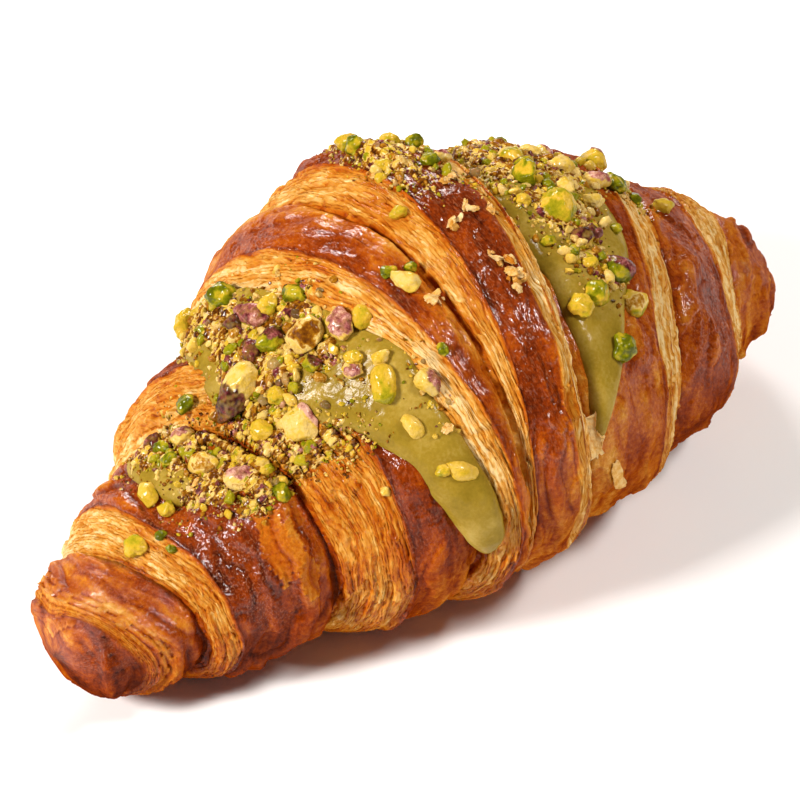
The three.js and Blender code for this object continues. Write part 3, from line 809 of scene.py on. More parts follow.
# ---- cream ----
# How thick each pour is, then for each angle round the roll in degrees the x of its two sides, as in
# its solid.
CREAMS = {
    "cream_left": (2.6, [
        (-62, -34, -31), (-40, -41, -28.5), (-10, -45, -25), (10, -42, -22), (28, -33.5, -18.7),
        (45, -28.5, -18), (65, -25, -15.6), (84, -20.8, -14.4), (95, -17, -15.6),
    ]),
    "cream_right": (2.2, [
        (-52, 30, 33), (-30, 24.5, 41), (0, 17.5, 42.5), (15, 15.5, 41), (30, 14.2, 36.5),
        (45, 12.6, 27), (58, 10.6, 19.8), (70, 9.2, 12.6), (75, 9.6, 10.8),
    ]),
    "cream_patch": (1.6, [
        (-38, -60.5, -58.5), (-25, -62.5, -56), (-10, -62.5, -55), (5, -61, -56.5), (10, -60, -58),
    ]),
}  # fmt: skip
CREAM_CELL = 0.45 * COARSE  # spacing of its mesh
CREAM_DIP = 0.7  # how far its rim dips into the dough
CREAM_ROOT = 0.8  # how far its underside lies under the rim


def cream_points(name):
    """Top and bottom grids of one pour of cream."""
    rise, sides = CREAMS[name]
    first, last = sides[0][0], sides[-1][0]
    length = math.radians(last - first) * TOP_RADIUS
    widest = max(row[2] - row[1] for row in sides)
    along, across = round(length / CREAM_CELL), round(widest * 1.15 / CREAM_CELL)
    u = np.linspace(0, 1, along + 1)[:, None]
    v = np.linspace(0, 1, across + 1)[None, :]
    degrees = first + (last - first) * (0.5 - 0.5 * np.cos(np.pi * u))
    angle = np.radians(degrees)
    arc = angle * TOP_RADIUS
    t = 0.5 - 0.5 * np.cos(np.pi * v)
    seed = 31 + len(name)
    ends = np.sin(np.pi * u) ** 0.5
    start, end = (
        curve(sides, degrees, column)
        + (0.7 * noise(arc / 9, side, seed=seed) + 0.12 * noise(arc / 3, side + 9, seed=seed)) * ends
        for column, side in ((1, 0.5), (2, 4.5))
    )
    x = start + (end - start) * t
    dough = surface_distance(x, angle)
    bridge = mix(surface_distance(start, angle), surface_distance(end, angle), t)
    swell = np.sqrt(np.maximum(0, 1 - np.abs(2 * t - 1) ** 3))
    run = (degrees - first) / (last - first)
    blunt = np.sqrt(np.maximum(0, 1 - np.abs(2 * run - 1) ** 10))
    drip = 1 + 0.25 * smoothstep(0.6, 0.9, run)
    wave = 0.35 * noise(x / 7, arc / 9, seed=seed + 1) + 0.1 * noise(x / 2.2, angle * 20, seed=seed + 2)
    top = np.maximum(bridge, dough) + (rise * drip + wave) * swell * blunt - CREAM_DIP * (1 - swell)
    rim = (u <= 0) | (u >= 1) | (v <= 0) | (v >= 1)
    top = np.where(rim, dough - CREAM_DIP, np.maximum(top, dough - CREAM_DIP))
    return place(x, angle, top), place(x, angle, dough - CREAM_DIP - CREAM_ROOT)


def shell(top, bottom):
    """Points and faces of a closed shell between two grids."""
    rows, columns = top.shape[:2]
    count = rows * columns
    i, j = np.meshgrid(np.arange(rows - 1), np.arange(columns - 1), indexing="ij")
    a = i * columns + j
    upper = np.stack([a, a + columns, a + columns + 1, a + 1], -1).reshape(-1, 4)
    rim = np.concatenate([
        np.arange(columns),
        (np.arange(1, rows) + 1) * columns - 1,
        count - 1 - np.arange(1, columns),
        (rows - 1 - np.arange(1, rows - 1)) * columns,
    ])
    after = np.roll(rim, -1)
    wall = np.stack([rim, after, after + count, rim + count], -1)
    points = np.vstack([top.reshape(-1, 3), bottom.reshape(-1, 3)])
    return points, np.vstack([upper, upper[:, ::-1] + count, wall]).tolist()


def select_only(piece):
    """Selects one object and nothing else."""
    bpy.ops.object.select_all(action="DESELECT")
    bpy.context.view_layer.objects.active = piece
    piece.select_set(True)


def edit_all(operator, **settings):
    """Runs one edit-mode operator on all of the selected object's mesh."""
    bpy.ops.object.mode_set(mode="EDIT")
    bpy.ops.mesh.select_all(action="SELECT")
    operator(**settings)
    bpy.ops.object.mode_set(mode="OBJECT")


def face_outwards(piece):
    """Turns every face of a closed piece outwards."""
    select_only(piece)
    edit_all(bpy.ops.mesh.normals_make_consistent, inside=False)
    return piece


def make_cream(material):
    """The pours of cream, thick and rounded at their rims."""
    pieces = []
    for name in CREAMS:
        points, faces = shell(*cream_points(name))
        piece = face_outwards(new_piece(name + "_pour", points, faces, material))
        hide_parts(name)
        pieces.append(piece)
    return pieces


# ---- where toppings come to rest ----
DROP_HEIGHT = 14.0  # how far off the roll they are dropped from


def read_points(mesh):
    """A mesh's points in millimetres."""
    co = np.zeros(len(mesh.vertices) * 3)
    mesh.vertices.foreach_get("co", co)
    return co.reshape(-1, 3) / MM


def read_triangles(mesh):
    """A mesh's triangles."""
    mesh.calc_loop_triangles()
    corners = np.zeros(len(mesh.loop_triangles) * 3, int)
    mesh.loop_triangles.foreach_get("vertices", corners)
    return corners.reshape(-1, 3)


def landing_ground(pieces):
    """A tree of the surface that toppings land on, in metres."""
    points, faces, start = [], [], 0
    for piece in pieces:
        points.append(read_points(piece.data) * MM)
        faces.append(read_triangles(piece.data) + start)
        start += len(points[-1])
    return BVHTree.FromPolygons(np.vstack(points).tolist(), np.vstack(faces).tolist())


def drop(ground, x, angle):
    """The spot in millimetres, and the way out of the surface, at x and an angle round the roll."""
    high = Vector(place(x, angle, core_distance(x, angle, DROP_HEIGHT))) * MM
    core = Vector(place(x, angle, 0.0)) * MM
    spot, way, _face, _far = ground.ray_cast(high, (core - high).normalized())
    if spot is None:
        return None
    if way.dot(high - core) < 0:
        way = -way
    return np.array(spot) / MM, np.array(way)


def lie_on(way, turn):
    """Axes of a piece that lies on the surface: its length turned from +X towards the front."""
    way, along = Vector(way), Vector((1, 0, 0))
    forward = along * math.cos(turn) - way.cross(along) * math.sin(turn)
    forward = (forward - way * forward.dot(way)).normalized()
    return np.array([forward, way.cross(forward).normalized(), way]).T


# ---- large nuts ----
# Ways that a nut's skin or its greener side can look.
LEFT_DOWN = (-0.75, -0.1, -0.3)
RIGHT_UP = (0.75, 0.1, 0.4)
UP = (0.1, 0.2, 1.0)
NEAR = (-0.3, -0.8, 0.2)
FAR = (0.3, 0.8, 0.3)


def nut_look(hue, green, skin=0.0, pink=0.5, way=UP, core=None, toast=0.15):
    """A nut's look: its hue from 0, creamy, and 0.4, yellow, to 1, dark green; how far it turns green
    in places; how much skin it has, from 0 to 1 all over, and whether that is 0, dark, or 1, pink; the
    way its skin looks; the hue of a broken face's middle, if it has one; and how toasted it is."""
    return hue, green, skin, pink, way, core, toast


NUTS = [
    nut_look(0.1, 0.2, 0.44, 0.0, LEFT_DOWN),
    nut_look(0.04, 0.3, 0.12, 0.9, RIGHT_UP),
    nut_look(0.38, 0.45, way=NEAR),
    nut_look(0.02, 0.1, 0.0, 0.3, RIGHT_UP, core=0.1),
    nut_look(0.3, 0.4, 0.7),
    nut_look(0.6, 0.6, way=RIGHT_UP),
    nut_look(0.36, 0.15),
    nut_look(0.14, 0.1),
    nut_look(0.28, 0.2, way=NEAR),
    nut_look(0.2, 0.1, 0.0, 0.3, NEAR, core=0.26, toast=0.9),
    nut_look(0.04, 0.1, 0.25, 0.8, toast=0.6),
    nut_look(0.3, 0.15, way=LEFT_DOWN),
    nut_look(0.3, 0.5, way=RIGHT_UP),
    nut_look(0.5, 0.75, way=LEFT_DOWN),
    nut_look(0.28, 0.7, 0.0, 0.3, NEAR),
    nut_look(0.36, 0.15, 0.15, 0.4, RIGHT_UP),
    nut_look(0.2, 0.3, 0.5, 0.1),
    nut_look(0.75, 0.5, 0.45, 0.2, RIGHT_UP),
    nut_look(0.42, 0.6, 0.0, 0.3, RIGHT_UP),
    nut_look(0.4, 0.4, 0.0, 1.0, NEAR, core=0.22),
]
BROKEN_FACE = np.array([-0.44, -0.56, 0.7])  # the way a broken face with a toasted middle looks
FLESH = 0.36  # where the creamy flesh starts on the finish's hue scale; below it, toasted crumbs
TOASTED_HUE = 0.2
NUT_VOXEL = 0.26 * COARSE
NUT_SINK = 0.45  # how far a kernel is pressed in
CORE_HEIGHT = 34  # usual height of the roll's core


def nut_tones(points, look, seed):
    """hue, skin and pink over a nut piece, from its points in millimetres round its middle."""
    first_hue, greener, skinned, pinkness, way, core_hue, toasted = look
    inside = points / (np.abs(points).max(0) + 1e-9)
    side = inside @ (np.array(way, float) / np.linalg.norm(way))
    x, y, z = points.T
    blotch = layered_noise(x / 2.6, y / 2.6, z / 2.6, seed=seed, octaves=3)
    veins = noise_in(points, 0.9, seed + 5)
    low = smoothstep(0.3, -0.9, inside[:, 2])
    green = smoothstep(0.35, 0.65, np.abs(side) * 0.6 + 0.7 * blotch + greener - 0.35 + 0.5 * low)
    hue = np.clip(first_hue + 0.5 * green * greener + 0.16 * blotch + 0.05 * veins, 0, 1)
    skin = 0 * side
    if skinned > 0:
        skin = smoothstep(-0.06, 0.06, side + 0.3 * blotch + 0.12 * veins - (1 - 2 * skinned))
        skin = skin * (0.92 + 0.3 * veins)
    patch = smoothstep(0.0, 0.3, noise_in(points, 2.2, seed + 9) + 0.25 * veins)
    hue = mix(FLESH + (1 - FLESH) * hue, TOASTED_HUE, toasted * patch)
    if core_hue is not None:
        ahead = inside @ BROKEN_FACE
        off = np.linalg.norm(inside - ahead[:, None] * BROKEN_FACE, axis=1)
        off = off + 0.3 * blotch + 0.2 * veins + 0.4 * noise_in(points, 1.1, seed + 12)
        hue = mix(hue, core_hue, 0.95 * smoothstep(1.0, 0.35, off) * (ahead > 0))
    return {"hue": hue, "skin": np.clip(skin, 0, 1), "pink": np.clip(pinkness + 0.35 * blotch, 0, 1)}


def flat_breaks(points, count, random):
    """Presses a lump's points flat against a few planes, as a chopped kernel breaks."""
    for _break in range(count):
        way = random.normal(size=3)
        way /= np.linalg.norm(way)
        along = points @ way
        limit = along.max() * random.uniform(0.64, 0.82)
        points = points - way * np.maximum(along - limit, 0)[:, None] * 0.8
    return points


def finish_with(piece, kind, **settings):
    """Gives a piece one modifier and applies it."""
    modifier = piece.modifiers.new("shaping", kind)
    for name, value in settings.items():
        setattr(modifier, name, value)
    bpy.ops.object.modifier_apply(modifier="shaping")


def make_pistachio(number, look, material):
    """One large pistachio piece: its solid, with soft corners, an uneven surface and its own skin."""
    node_name = f"pistachio_{number:02d}"
    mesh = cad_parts[node_name].data.copy()
    mesh.materials.clear()
    mesh.materials.append(material)
    nut = bpy.data.objects.new(node_name.replace("pistachio", "kernel"), mesh)
    bpy.context.scene.collection.objects.link(nut)
    select_only(nut)
    edit_all(bpy.ops.mesh.remove_doubles, threshold=1e-6)
    finish_with(nut, "REMESH", mode="VOXEL", voxel_size=NUT_VOXEL * MM, use_smooth_shade=True)
    finish_with(nut, "SMOOTH", factor=0.5, iterations=2)
    points = read_points(nut.data)
    normals = np.zeros(len(points) * 3)
    nut.data.vertices.foreach_get("normal", normals)
    middle = (points.min(0) + points.max(0)) / 2
    points = points - middle
    uneven = 0.3 * noise_in(points, 3.2, number) - 0.16 * np.abs(noise_in(points, 1.8, number + 40))
    uneven = uneven + 0.09 * noise_in(points, 0.9, number + 60) + 0.06 * noise_in(points, 0.45, number + 80)
    tones = nut_tones(points, look, number)
    points = flat_breaks(points, 2, np.random.default_rng(300 + number)) + middle
    points = points + normals.reshape(-1, 3) * (uneven + 0.12 * tones["skin"])[:, None]
    core = place(middle[0], math.atan2(-middle[1], middle[2] - CORE_HEIGHT), 0.0)
    inwards = (core - middle) / np.linalg.norm(core - middle)
    nut.data.vertices.foreach_set("co", ((points + NUT_SINK * inwards) * MM).ravel())
    nut.data.update()
    set_tones(nut.data, tones)
    nut.data.polygons.foreach_set("use_smooth", [True] * len(nut.data.polygons))
    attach(nut, "root")
    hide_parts(node_name)
    return nut


# ---- smaller chopped nut ----
YELLOW = nut_look(0.4, 0.2, way=NEAR)
CREAMY = nut_look(0.12, 0.2)
GREEN = nut_look(0.6, 0.7)
PURPLE = nut_look(0.3, 0.3, 0.5, 0.15)
PINK = nut_look(0.12, 0.2, 0.3, 0.6)
MIXED = nut_look(0.6, 0.5, 0.4, 0.2, FAR)
# x, angle in degrees, length, width, height, turn in degrees, look.
BITS = [
    (-31, -31, 5.4, 4.8, 4.2, 20, GREEN), (-36, -44, 5, 4, 3.6, 0, YELLOW),
    (-29, -11, 3.8, 3.4, 3.2, 0, YELLOW), (-33, -3, 4.8, 4, 3.6, 40, MIXED),
    (-24, 11, 5.6, 4.4, 3.8, 100, PINK), (-19, 37, 4.8, 4.4, 3.4, 70, PINK),
    (-62, 5, 3, 2.8, 2.4, 0, YELLOW), (-70, 7, 3.8, 3.4, 2.8, 0, YELLOW),
    (-46, 35, 4, 2.8, 2.4, 120, GREEN), (-54, -35, 4.4, 3.4, 3, 10, PURPLE),
    (-42, 13, 4, 3.6, 3, 60, YELLOW), (40, -39, 5.2, 3.4, 3.2, 90, GREEN),
    (47, 4, 4.4, 3.6, 3, 45, GREEN), (43, 3, 5.2, 3.8, 3.2, 20, PINK), (36, 12, 3.8, 3, 2.6, 0, CREAMY),
    (16, 40, 4, 3.8, 3, 30, YELLOW), (20, 53, 5, 4.2, 3.6, 80, GREEN), (59, 9, 4.2, 3, 2.6, 15, YELLOW),
    (50, 9, 3, 2.2, 2, 0, GREEN), (-12, 15, 5.4, 3.4, 2.8, 80, CREAMY),
    (19, 21, 2.8, 1.9, 1.8, 10, GREEN), (-27, 22, 3.6, 3, 2.6, 30, PINK),
    (-31, 12, 3.4, 2.8, 2.6, 70, MIXED), (-36, -6, 4.2, 3.2, 3, 120, PURPLE),
    (-38, 10, 3.2, 2.8, 2.6, 10, YELLOW), (-26, 20, 3.4, 2.8, 2.6, 50, YELLOW),
    (-23, 25, 3.2, 2.6, 2.2, 0, CREAMY), (-34, -18, 3.6, 3.2, 3, 80, PURPLE),
    (-52, -14, 3.8, 3, 2.6, 0, PINK), (-56, -18, 3.4, 2.8, 2.4, 60, MIXED),
    (-57, -8, 3, 2.4, 2.2, 0, GREEN), (-48, -20, 3.4, 3, 2.6, 0, GREEN),
    (-45, 22, 3.2, 2.6, 2.4, 30, CREAMY), (38, -4, 4.4, 3.6, 3.2, 30, CREAMY),
    (33, 6, 3.6, 3, 2.6, 100, CREAMY), (29, 22, 3.2, 2.6, 2.4, 0, PURPLE),
    (36, -14, 4, 3, 2.8, 60, CREAMY), (31, -8, 3.8, 2.8, 2.6, 0, MIXED), (24, 30, 2.8, 2.4, 2, 0, YELLOW),
    (42, -20, 3.8, 3.2, 2.8, 0, PINK), (21, 8, 2.8, 2.2, 2, 0, YELLOW), (22, 26, 2.6, 2.2, 2, 0, GREEN),
    (7, -39, 4.4, 3.6, 3.4, 0, YELLOW), (6, -33, 3.6, 3.2, 3, 0, GREEN),
    (12, -30, 3.4, 3, 2.8, 0, YELLOW), (16, -27, 3.2, 2.8, 2.8, 0, GREEN),
    (11, -12, 3.4, 2.8, 2.4, 40, GREEN), (15, -14, 3.2, 2.6, 2.6, 0, PINK),
    (4, -18, 3, 2.6, 2.2, 0, YELLOW), (-3, -2, 3, 2.6, 2, 0, YELLOW), (-13, 10, 2.8, 2.2, 1.8, 20, GREEN),
    (-9, 12, 2.2, 1.8, 1.6, 0, GREEN), (-14, 33, 2.2, 1.7, 1.5, 90, GREEN),
    (-66, 14, 2.2, 1.8, 1.6, 0, GREEN), (-66, 22, 2, 1.5, 1.3, 30, GREEN),
    (-23, 57, 2.4, 1.9, 1.6, 0, YELLOW), (-31, 54, 1.8, 1.6, 1.4, 0, CREAMY),
]  # fmt: skip
SHAPE_WIDTH = 1.6  # how wide a ball comes out once it is cut


def cut_ball(fineness, cuts, random):
    """Points and triangles of a ball of radius 1 with straight cuts, modelled as by hand."""
    bpy.ops.object.select_all(action="DESELECT")
    bpy.ops.mesh.primitive_ico_sphere_add(subdivisions=fineness, radius=1.0)
    ball = bpy.context.object
    bpy.ops.object.mode_set(mode="EDIT")
    for _cut in range(cuts):
        way = random.normal(size=3)
        way /= np.linalg.norm(way)
        at = way * random.uniform(0.5, 0.8)
        bpy.ops.mesh.select_all(action="SELECT")
        bpy.ops.mesh.bisect(plane_co=tuple(at), plane_no=tuple(way), use_fill=True, clear_outer=True)
    bpy.ops.mesh.select_all(action="SELECT")
    bpy.ops.mesh.quads_convert_to_tris()
    bpy.ops.mesh.normals_make_consistent(inside=False)
    bpy.ops.object.mode_set(mode="OBJECT")
    points, faces = read_points(ball.data) * MM, read_triangles(ball.data)
    bpy.data.objects.remove(ball)
    return points, faces


def chopped_shape(seed, fineness, cuts, ragged):
    """One chopped grain about 1 mm across the half: a ragged ball with straight cuts."""
    points, faces = cut_ball(fineness, cuts, np.random.default_rng(seed))
    swing = noise_in(1.7 * points, 1, seed) + 0.5 * noise_in(2.3 * 1.7 * points, 1, seed + 1)
    return points * (1 + ragged * swing[:, None]), faces


def pressed_shape(seed, fineness, breaks):
    """One rounded lump about 1 mm across the half: an uneven ball pressed flat in places."""
    random = np.random.default_rng(seed)
    points, faces = cut_ball(fineness, 0, random)
    swing = 0.3 * noise_in(1.3 * points, 1, seed) + 0.12 * noise_in(2.6 * 1.3 * points, 1, seed + 1)
    return flat_breaks(points * (1 + swing[:, None]), breaks, random), faces


def join_up(name, parts, material, smooth=False):
    """One piece from many small meshes: points in millimetres, faces and tones of each."""
    faces, start = [], 0
    for points, part_faces, _tones in parts:
        faces.append(part_faces + start)
        start += len(points)
    tones = {
        title: np.concatenate([np.broadcast_to(part[2][title], len(part[0])) for part in parts])
        for title in parts[0][2]
    }
    points = np.vstack([part[0] for part in parts])
    return new_piece(name, points, np.vstack(faces).tolist(), material, None, tones, smooth)


def make_bits(ground, material):
    """The smaller chopped pieces, each laid where it landed."""
    shapes = [pressed_shape(50 + n, 4, 4) for n in range(8)]
    parts = []
    for n, (x, degrees, length, width, height, turn, look) in enumerate(BITS):
        spot, way = drop(ground, float(x), math.radians(degrees))
        points, faces = shapes[n % len(shapes)]
        points = points * (np.array([length, width, height]) / 1.7)
        rough = 0.16 * noise_in(points, 1.2, n, 9 * n) + 0.1 * noise_in(points, 0.55, n + 1, 9 * n)
        size = np.linalg.norm(points, axis=1)
        points = points * (1 + rough / np.maximum(size, 0.3))[:, None]
        placed = points @ lie_on(way, math.radians(turn)).T + spot + way * height * 0.3
        parts.append((placed, faces, nut_tones(points, look, 100 + n)))
    return join_up("chopped_pistachios", parts, material, smooth=True)


# ---- crumbs ----
# Heaps of crumbs: x, angle in degrees, reach along x and round the roll in millimetres, share.
# Finely ground nut lies on the dough; coarser crumbs lie in the cream.
LEFT_GROUND = [
    (-56, -24, 7, 9, 0.7), (-53, -6, 7, 9, 0.9), (-53, 12, 8, 9, 1.0), (-45, 22, 9, 7, 1.0),
    (-38, 30, 7, 5, 0.8), (-49, 31, 6, 5, 0.6), (-47, 8, 6, 8, 0.9), (-33, 36, 5, 5, 0.3),
]  # fmt: skip
LEFT_CREAM = [
    (-35, -32, 6, 12, 1.0), (-36, -10, 7, 10, 1.0), (-35, 3, 6, 8, 0.7), (-28, 14, 4, 8, 0.25),
    (-20, 36, 3, 9, 0.1), (-40, 12, 4, 5, 0.4), (-27, -4, 5, 12, 0.45),
]  # fmt: skip
CREST_GROUND = [
    (8, -28, 7, 11, 1.0), (5, -12, 5, 8, 0.5), (13, -12, 3, 14, 0.4), (11, -47, 6, 12, 0.7),
]  # fmt: skip
RIGHT_GROUND = [
    (31, -24, 8, 10, 1.0), (37, -10, 7, 7, 0.9), (27, -10, 6, 9, 0.8), (40, -34, 6, 9, 0.6),
]  # fmt: skip
RIGHT_CREAM = [
    (30, -10, 8, 15, 0.8), (38, -4, 7, 10, 0.8), (28, 12, 7, 11, 0.9), (26, 30, 5, 9, 0.6),
    (46, 2, 5, 7, 0.35), (35, -30, 7, 11, 0.5), (52, 7, 4, 5, 0.15), (20, 10, 3, 16, 0.25),
]  # fmt: skip


def crumb_spots(ground, heaps, count, clumping, seed):
    """Random spots for crumbs in heaps, thicker in clumps."""
    random = np.random.default_rng(seed)
    shares = np.array([heap[4] for heap in heaps], float)
    shares /= shares.sum()
    spots = []
    tries = 0
    while len(spots) < count and tries < 12 * count:
        tries += 1
        x, degrees, reach_x, reach_round, _share = heaps[random.choice(len(heaps), p=shares)]
        far = random.normal(size=2) * 0.62
        if np.hypot(*far) > 1.5:
            continue
        x = x + far[0] * reach_x
        angle = math.radians(degrees) + far[1] * reach_round / TOP_RADIUS
        thick = 0.5 + 1.2 * float(noise(x / 3.2, angle * TOP_RADIUS / 3.2, seed=seed))
        if random.random() > mix(1, thick, clumping):
            continue
        found = drop(ground, x, angle)
        if found is not None:
            spots.append(found)
    return spots


def scatter(name, spots, shapes, sizes, material, looks, seed, smooth=False):
    """Many copies of a few small shapes on the spots, each turned and sized its own way."""
    random = np.random.default_rng(seed)
    parts = []
    for n, (spot, way) in enumerate(spots):
        points, faces = shapes[n % len(shapes)]
        size = sizes[0] * (sizes[1] / sizes[0]) ** (random.random() ** 1.6)
        stretch = np.array([1, random.uniform(0.6, 1), random.uniform(0.5, 0.9)])
        turn, _ = np.linalg.qr(random.normal(size=(3, 3)))
        if np.linalg.det(turn) < 0:
            turn[:, 0] = -turn[:, 0]
        placed = (points * stretch * size / SHAPE_WIDTH) @ turn.T + spot + way * size * 0.2
        hue, skin, pink = looks(random)
        parts.append((placed, faces, {"hue": hue, "skin": skin, "pink": pink}))
    return join_up(name, parts, material, smooth)


def chopped_looks(random):
    """hue, skin and pink of a random chopped bit."""
    if random.random() < 0.13:
        return 0.4, random.uniform(0.5, 1), random.uniform(0.0, 0.5)
    kinds = [0.2, 0.33, 0.42, 0.5, 0.6, 0.75, 0.85]
    hue = random.choice(kinds, p=[0.2, 0.12, 0.2, 0.14, 0.12, 0.12, 0.1]) + random.uniform(-0.05, 0.05)
    return hue, 0.0, 0.5


def toasted_looks(random):
    """hue, skin and pink of a fine, toasted crumb."""
    kinds = [0.05, 0.12, 0.2, 0.3, 0.4, 0.55, 0.8]
    hue = random.choice(kinds, p=[0.1, 0.17, 0.19, 0.2, 0.14, 0.1, 0.1]) + random.uniform(-0.04, 0.04)
    return hue, 0.9 * (random.random() < 0.08), random.uniform(0.1, 0.8)


def make_crumbs(ground, material):
    """Loose bits and crumbs, from coarse ones in the cream to fine, toasted ones on the dough."""
    cream_heaps = LEFT_CREAM + RIGHT_CREAM
    ground_heaps = LEFT_GROUND + CREST_GROUND + RIGHT_GROUND
    chopped = [chopped_shape(80 + n, 1, 2, 0.7) for n in range(8)]
    lumps = [pressed_shape(90 + n, 3, 5) for n in range(8)]
    spots = crumb_spots(ground, cream_heaps, 420 // COARSE, 0.5, 71)
    spots += crumb_spots(ground, ground_heaps, 150 // COARSE, 0.7, 77)
    scatter("nut_bits", spots, lumps, (0.9, 2.7), material, chopped_looks, 72, smooth=True)
    spots = crumb_spots(ground, cream_heaps, 1500 // COARSE, 0.7, 73)
    spots += crumb_spots(ground, ground_heaps, 1300 // COARSE, 0.7, 78)
    scatter("nut_crumbs", spots, chopped, (0.4, 1.25), material, chopped_looks, 74)
    spots = crumb_spots(ground, ground_heaps, 2600 // COARSE, 0.5, 75)
    spots += crumb_spots(ground, cream_heaps, 900 // COARSE, 0.5, 79)
    scatter("toasted_crumbs", spots, chopped, (0.3, 0.85), material, toasted_looks, 76)


# ---- beds of ground nut ----
# Ground nuts finer than rice lie in beds; each bed is one rough skin over what it lies on. Each has its
# reach along x, its reach in degrees, its heaps, and how thin a heap's rim may get.
BEDS = {
    "ground_nut_left": ((-69, -13), (-66, 52), LEFT_GROUND + LEFT_CREAM, 0.5),
    "ground_nut_right": ((-2, 56), (-60, 52), CREST_GROUND + RIGHT_GROUND + RIGHT_CREAM, 0.55),
}
BED_CELL = 0.27 * COARSE
BED_THICK = 1.6  # how deep a bed's underside lies
BED_RIM = -0.14  # the cover at which a bed ends
RIM_HEIGHT = -0.5  # and how high it stands there, which is under the surface
LONGEST_SIDE = 0.7 * COARSE  # a cell with a longer side would bridge a step in the dough


def bed_surface(x, arc, heaps, thin):
    """A bed's cover, height and tones: grains of two sizes side by side, bare between the heaps."""
    cover = np.zeros(x.shape)
    for at_x, degrees, reach_x, reach_round, share in heaps:
        far = ((x - at_x) / reach_x) ** 2 + ((arc - math.radians(degrees) * TOP_RADIUS) / reach_round) ** 2
        cover = np.maximum(cover, share**0.5 * np.exp(-far))
    cover = cover - thin + 0.34 * noise(x / 5, arc / 5, seed=91) + 0.2 * noise(x / 1.8, arc / 1.8, seed=92)
    wobble_x, wobble_y = (0.35 * noise(x / 1.3, arc / 1.3, seed=seed) for seed in (97, 98))
    big, big_own = grains(x + wobble_x, arc + wobble_y, 1.15, 93)
    small, small_own = grains(x + wobble_x, arc - wobble_y, 0.62, 94)
    thick = smoothstep(-0.05, 0.45, cover)
    height = 0.5 * thick + (0.9 * big * big_own + 0.5 * small) * smoothstep(-0.12, 0.1, cover)
    height = height + 0.15 * noise(x / 0.6, arc / 0.6, seed=95) - 0.34
    own = np.where(0.75 * big * big_own > 0.34 * small, big_own, small_own) * 7.3 % 1.0
    hue = np.interp(own, [0, 0.12, 0.34, 0.56, 0.76, 0.88, 1], [0.03, 0.1, 0.18, 0.28, 0.42, 0.6, 0.88])
    # painted shade: darker, towards dark brown, in the gaps between the grains
    hue = hue - 0.3 * (1 - np.maximum(small, big * big_own)) ** 1.5
    hue = hue + 0.05 * noise(x / 0.5, arc / 0.5, seed=96)
    skin = smoothstep(0.91, 0.94, own * 5.1 % 1.0)
    return cover, height, {"hue": hue, "skin": skin, "pink": 0.7 * (own * 3.3 % 1.0)}


def cell_corners(grid):
    """A grid's values at the four corners of its cells, in turn round each cell."""
    return [grid[:-1, :-1], grid[1:, :-1], grid[1:, 1:], grid[:-1, 1:]]


def fill_corners(cells):
    """Fills in beside cells that would touch only at a corner, and clears the grid's rim."""
    for _pass in range(2):
        cells[1:, :-1] |= cells[:-1, :-1] & cells[1:, 1:]
        cells[:-1, :-1] |= cells[1:, :-1] & cells[:-1, 1:]
    cells[[0, -1]] = False
    cells[:, [0, -1]] = False


def clear_corners(cells):
    """Takes away one of two cells that touch only at a corner."""
    for _pass in range(2):
        first, second, third, fourth = cell_corners(cells)
        first &= ~(first & third & ~second & ~fourth)
        second &= ~(second & fourth & ~first & ~third)


def closed_cells(cells):
    """Faces of a closed skin: the cells of an upper grid and a lower one, and the walls round them."""
    count = (cells.shape[0] + 1) * (cells.shape[1] + 1)
    ring = cell_corners(np.arange(count).reshape(cells.shape[0] + 1, -1))
    upper = np.stack([side[cells] for side in ring], -1)
    faces = [upper, upper[:, ::-1] + count]
    for n, (shift, axis) in enumerate(((1, 1), (-1, 0), (-1, 1), (1, 0))):
        open_side = cells & ~np.roll(cells, shift, axis)
        a, b = ring[n][open_side], ring[(n + 1) % 4][open_side]
        faces.append(np.stack([b, a, a + count, b + count], -1))
    return np.vstack(faces)


def make_bed(name, ground, material):
    """A bed of ground nut, laid over the dough and the cream."""
    reach, turn, heaps, thin = BEDS[name]
    rows = round((reach[1] - reach[0]) / BED_CELL)
    columns = round(math.radians(turn[1] - turn[0]) * ROLL_RADIUS / BED_CELL)
    x, angle = np.meshgrid(np.linspace(*reach, rows), np.radians(np.linspace(*turn, columns)), indexing="ij")
    cover, height, tones = bed_surface(x, angle * TOP_RADIUS, heaps, thin)
    covered = cover > BED_RIM
    cells = np.any(cell_corners(covered), axis=0)
    fill_corners(cells)
    used = np.zeros(x.shape, bool)
    for corner in cell_corners(used):  # each is a view of the grid, so this marks the grid itself
        corner |= cells
    core = place(x, angle, 0.0)
    under, out = np.zeros(core.shape), np.zeros(core.shape)
    for i, j in np.argwhere(used):
        found = drop(ground, x[i, j], angle[i, j])
        under[i, j], way = found if found is not None else (core[i, j], np.array((0, 0, 1)))
        out[i, j] = unit(unit(under[i, j] - core[i, j]) + 0.6 * way)
    top = under + out * np.where(covered, height, RIM_HEIGHT)[..., None]
    corners = cell_corners(under)
    for n in range(4):
        cells &= np.linalg.norm(corners[n] - corners[(n + 1) % 4], axis=-1) < LONGEST_SIDE
    clear_corners(cells)
    body = np.vstack([top.reshape(-1, 3), (top + BED_THICK * unit(core - top)).reshape(-1, 3)])
    kept, faces = np.unique(closed_cells(cells), return_inverse=True)
    tones = {title: np.tile(values.ravel(), 2)[kept] for title, values in tones.items()}
    faces = faces.reshape(-1, 4).tolist()
    return face_outwards(new_piece(name, body[kept], faces, material, None, tones))


# ---- flakes and chips of crust ----
# Loose flakes: x, angle in degrees, length, width, turn in degrees, lift of the loose side, tone.
FLAKES = [(9, 73, 9, 3.4, 95, 0.9, 0.04), (13, 90, 8, 2.8, 80, 0.8, 0.1)]
FLAKE_THICK = 0.14
FLAKE_TURNS = 40
FLAKE_RINGS = 7
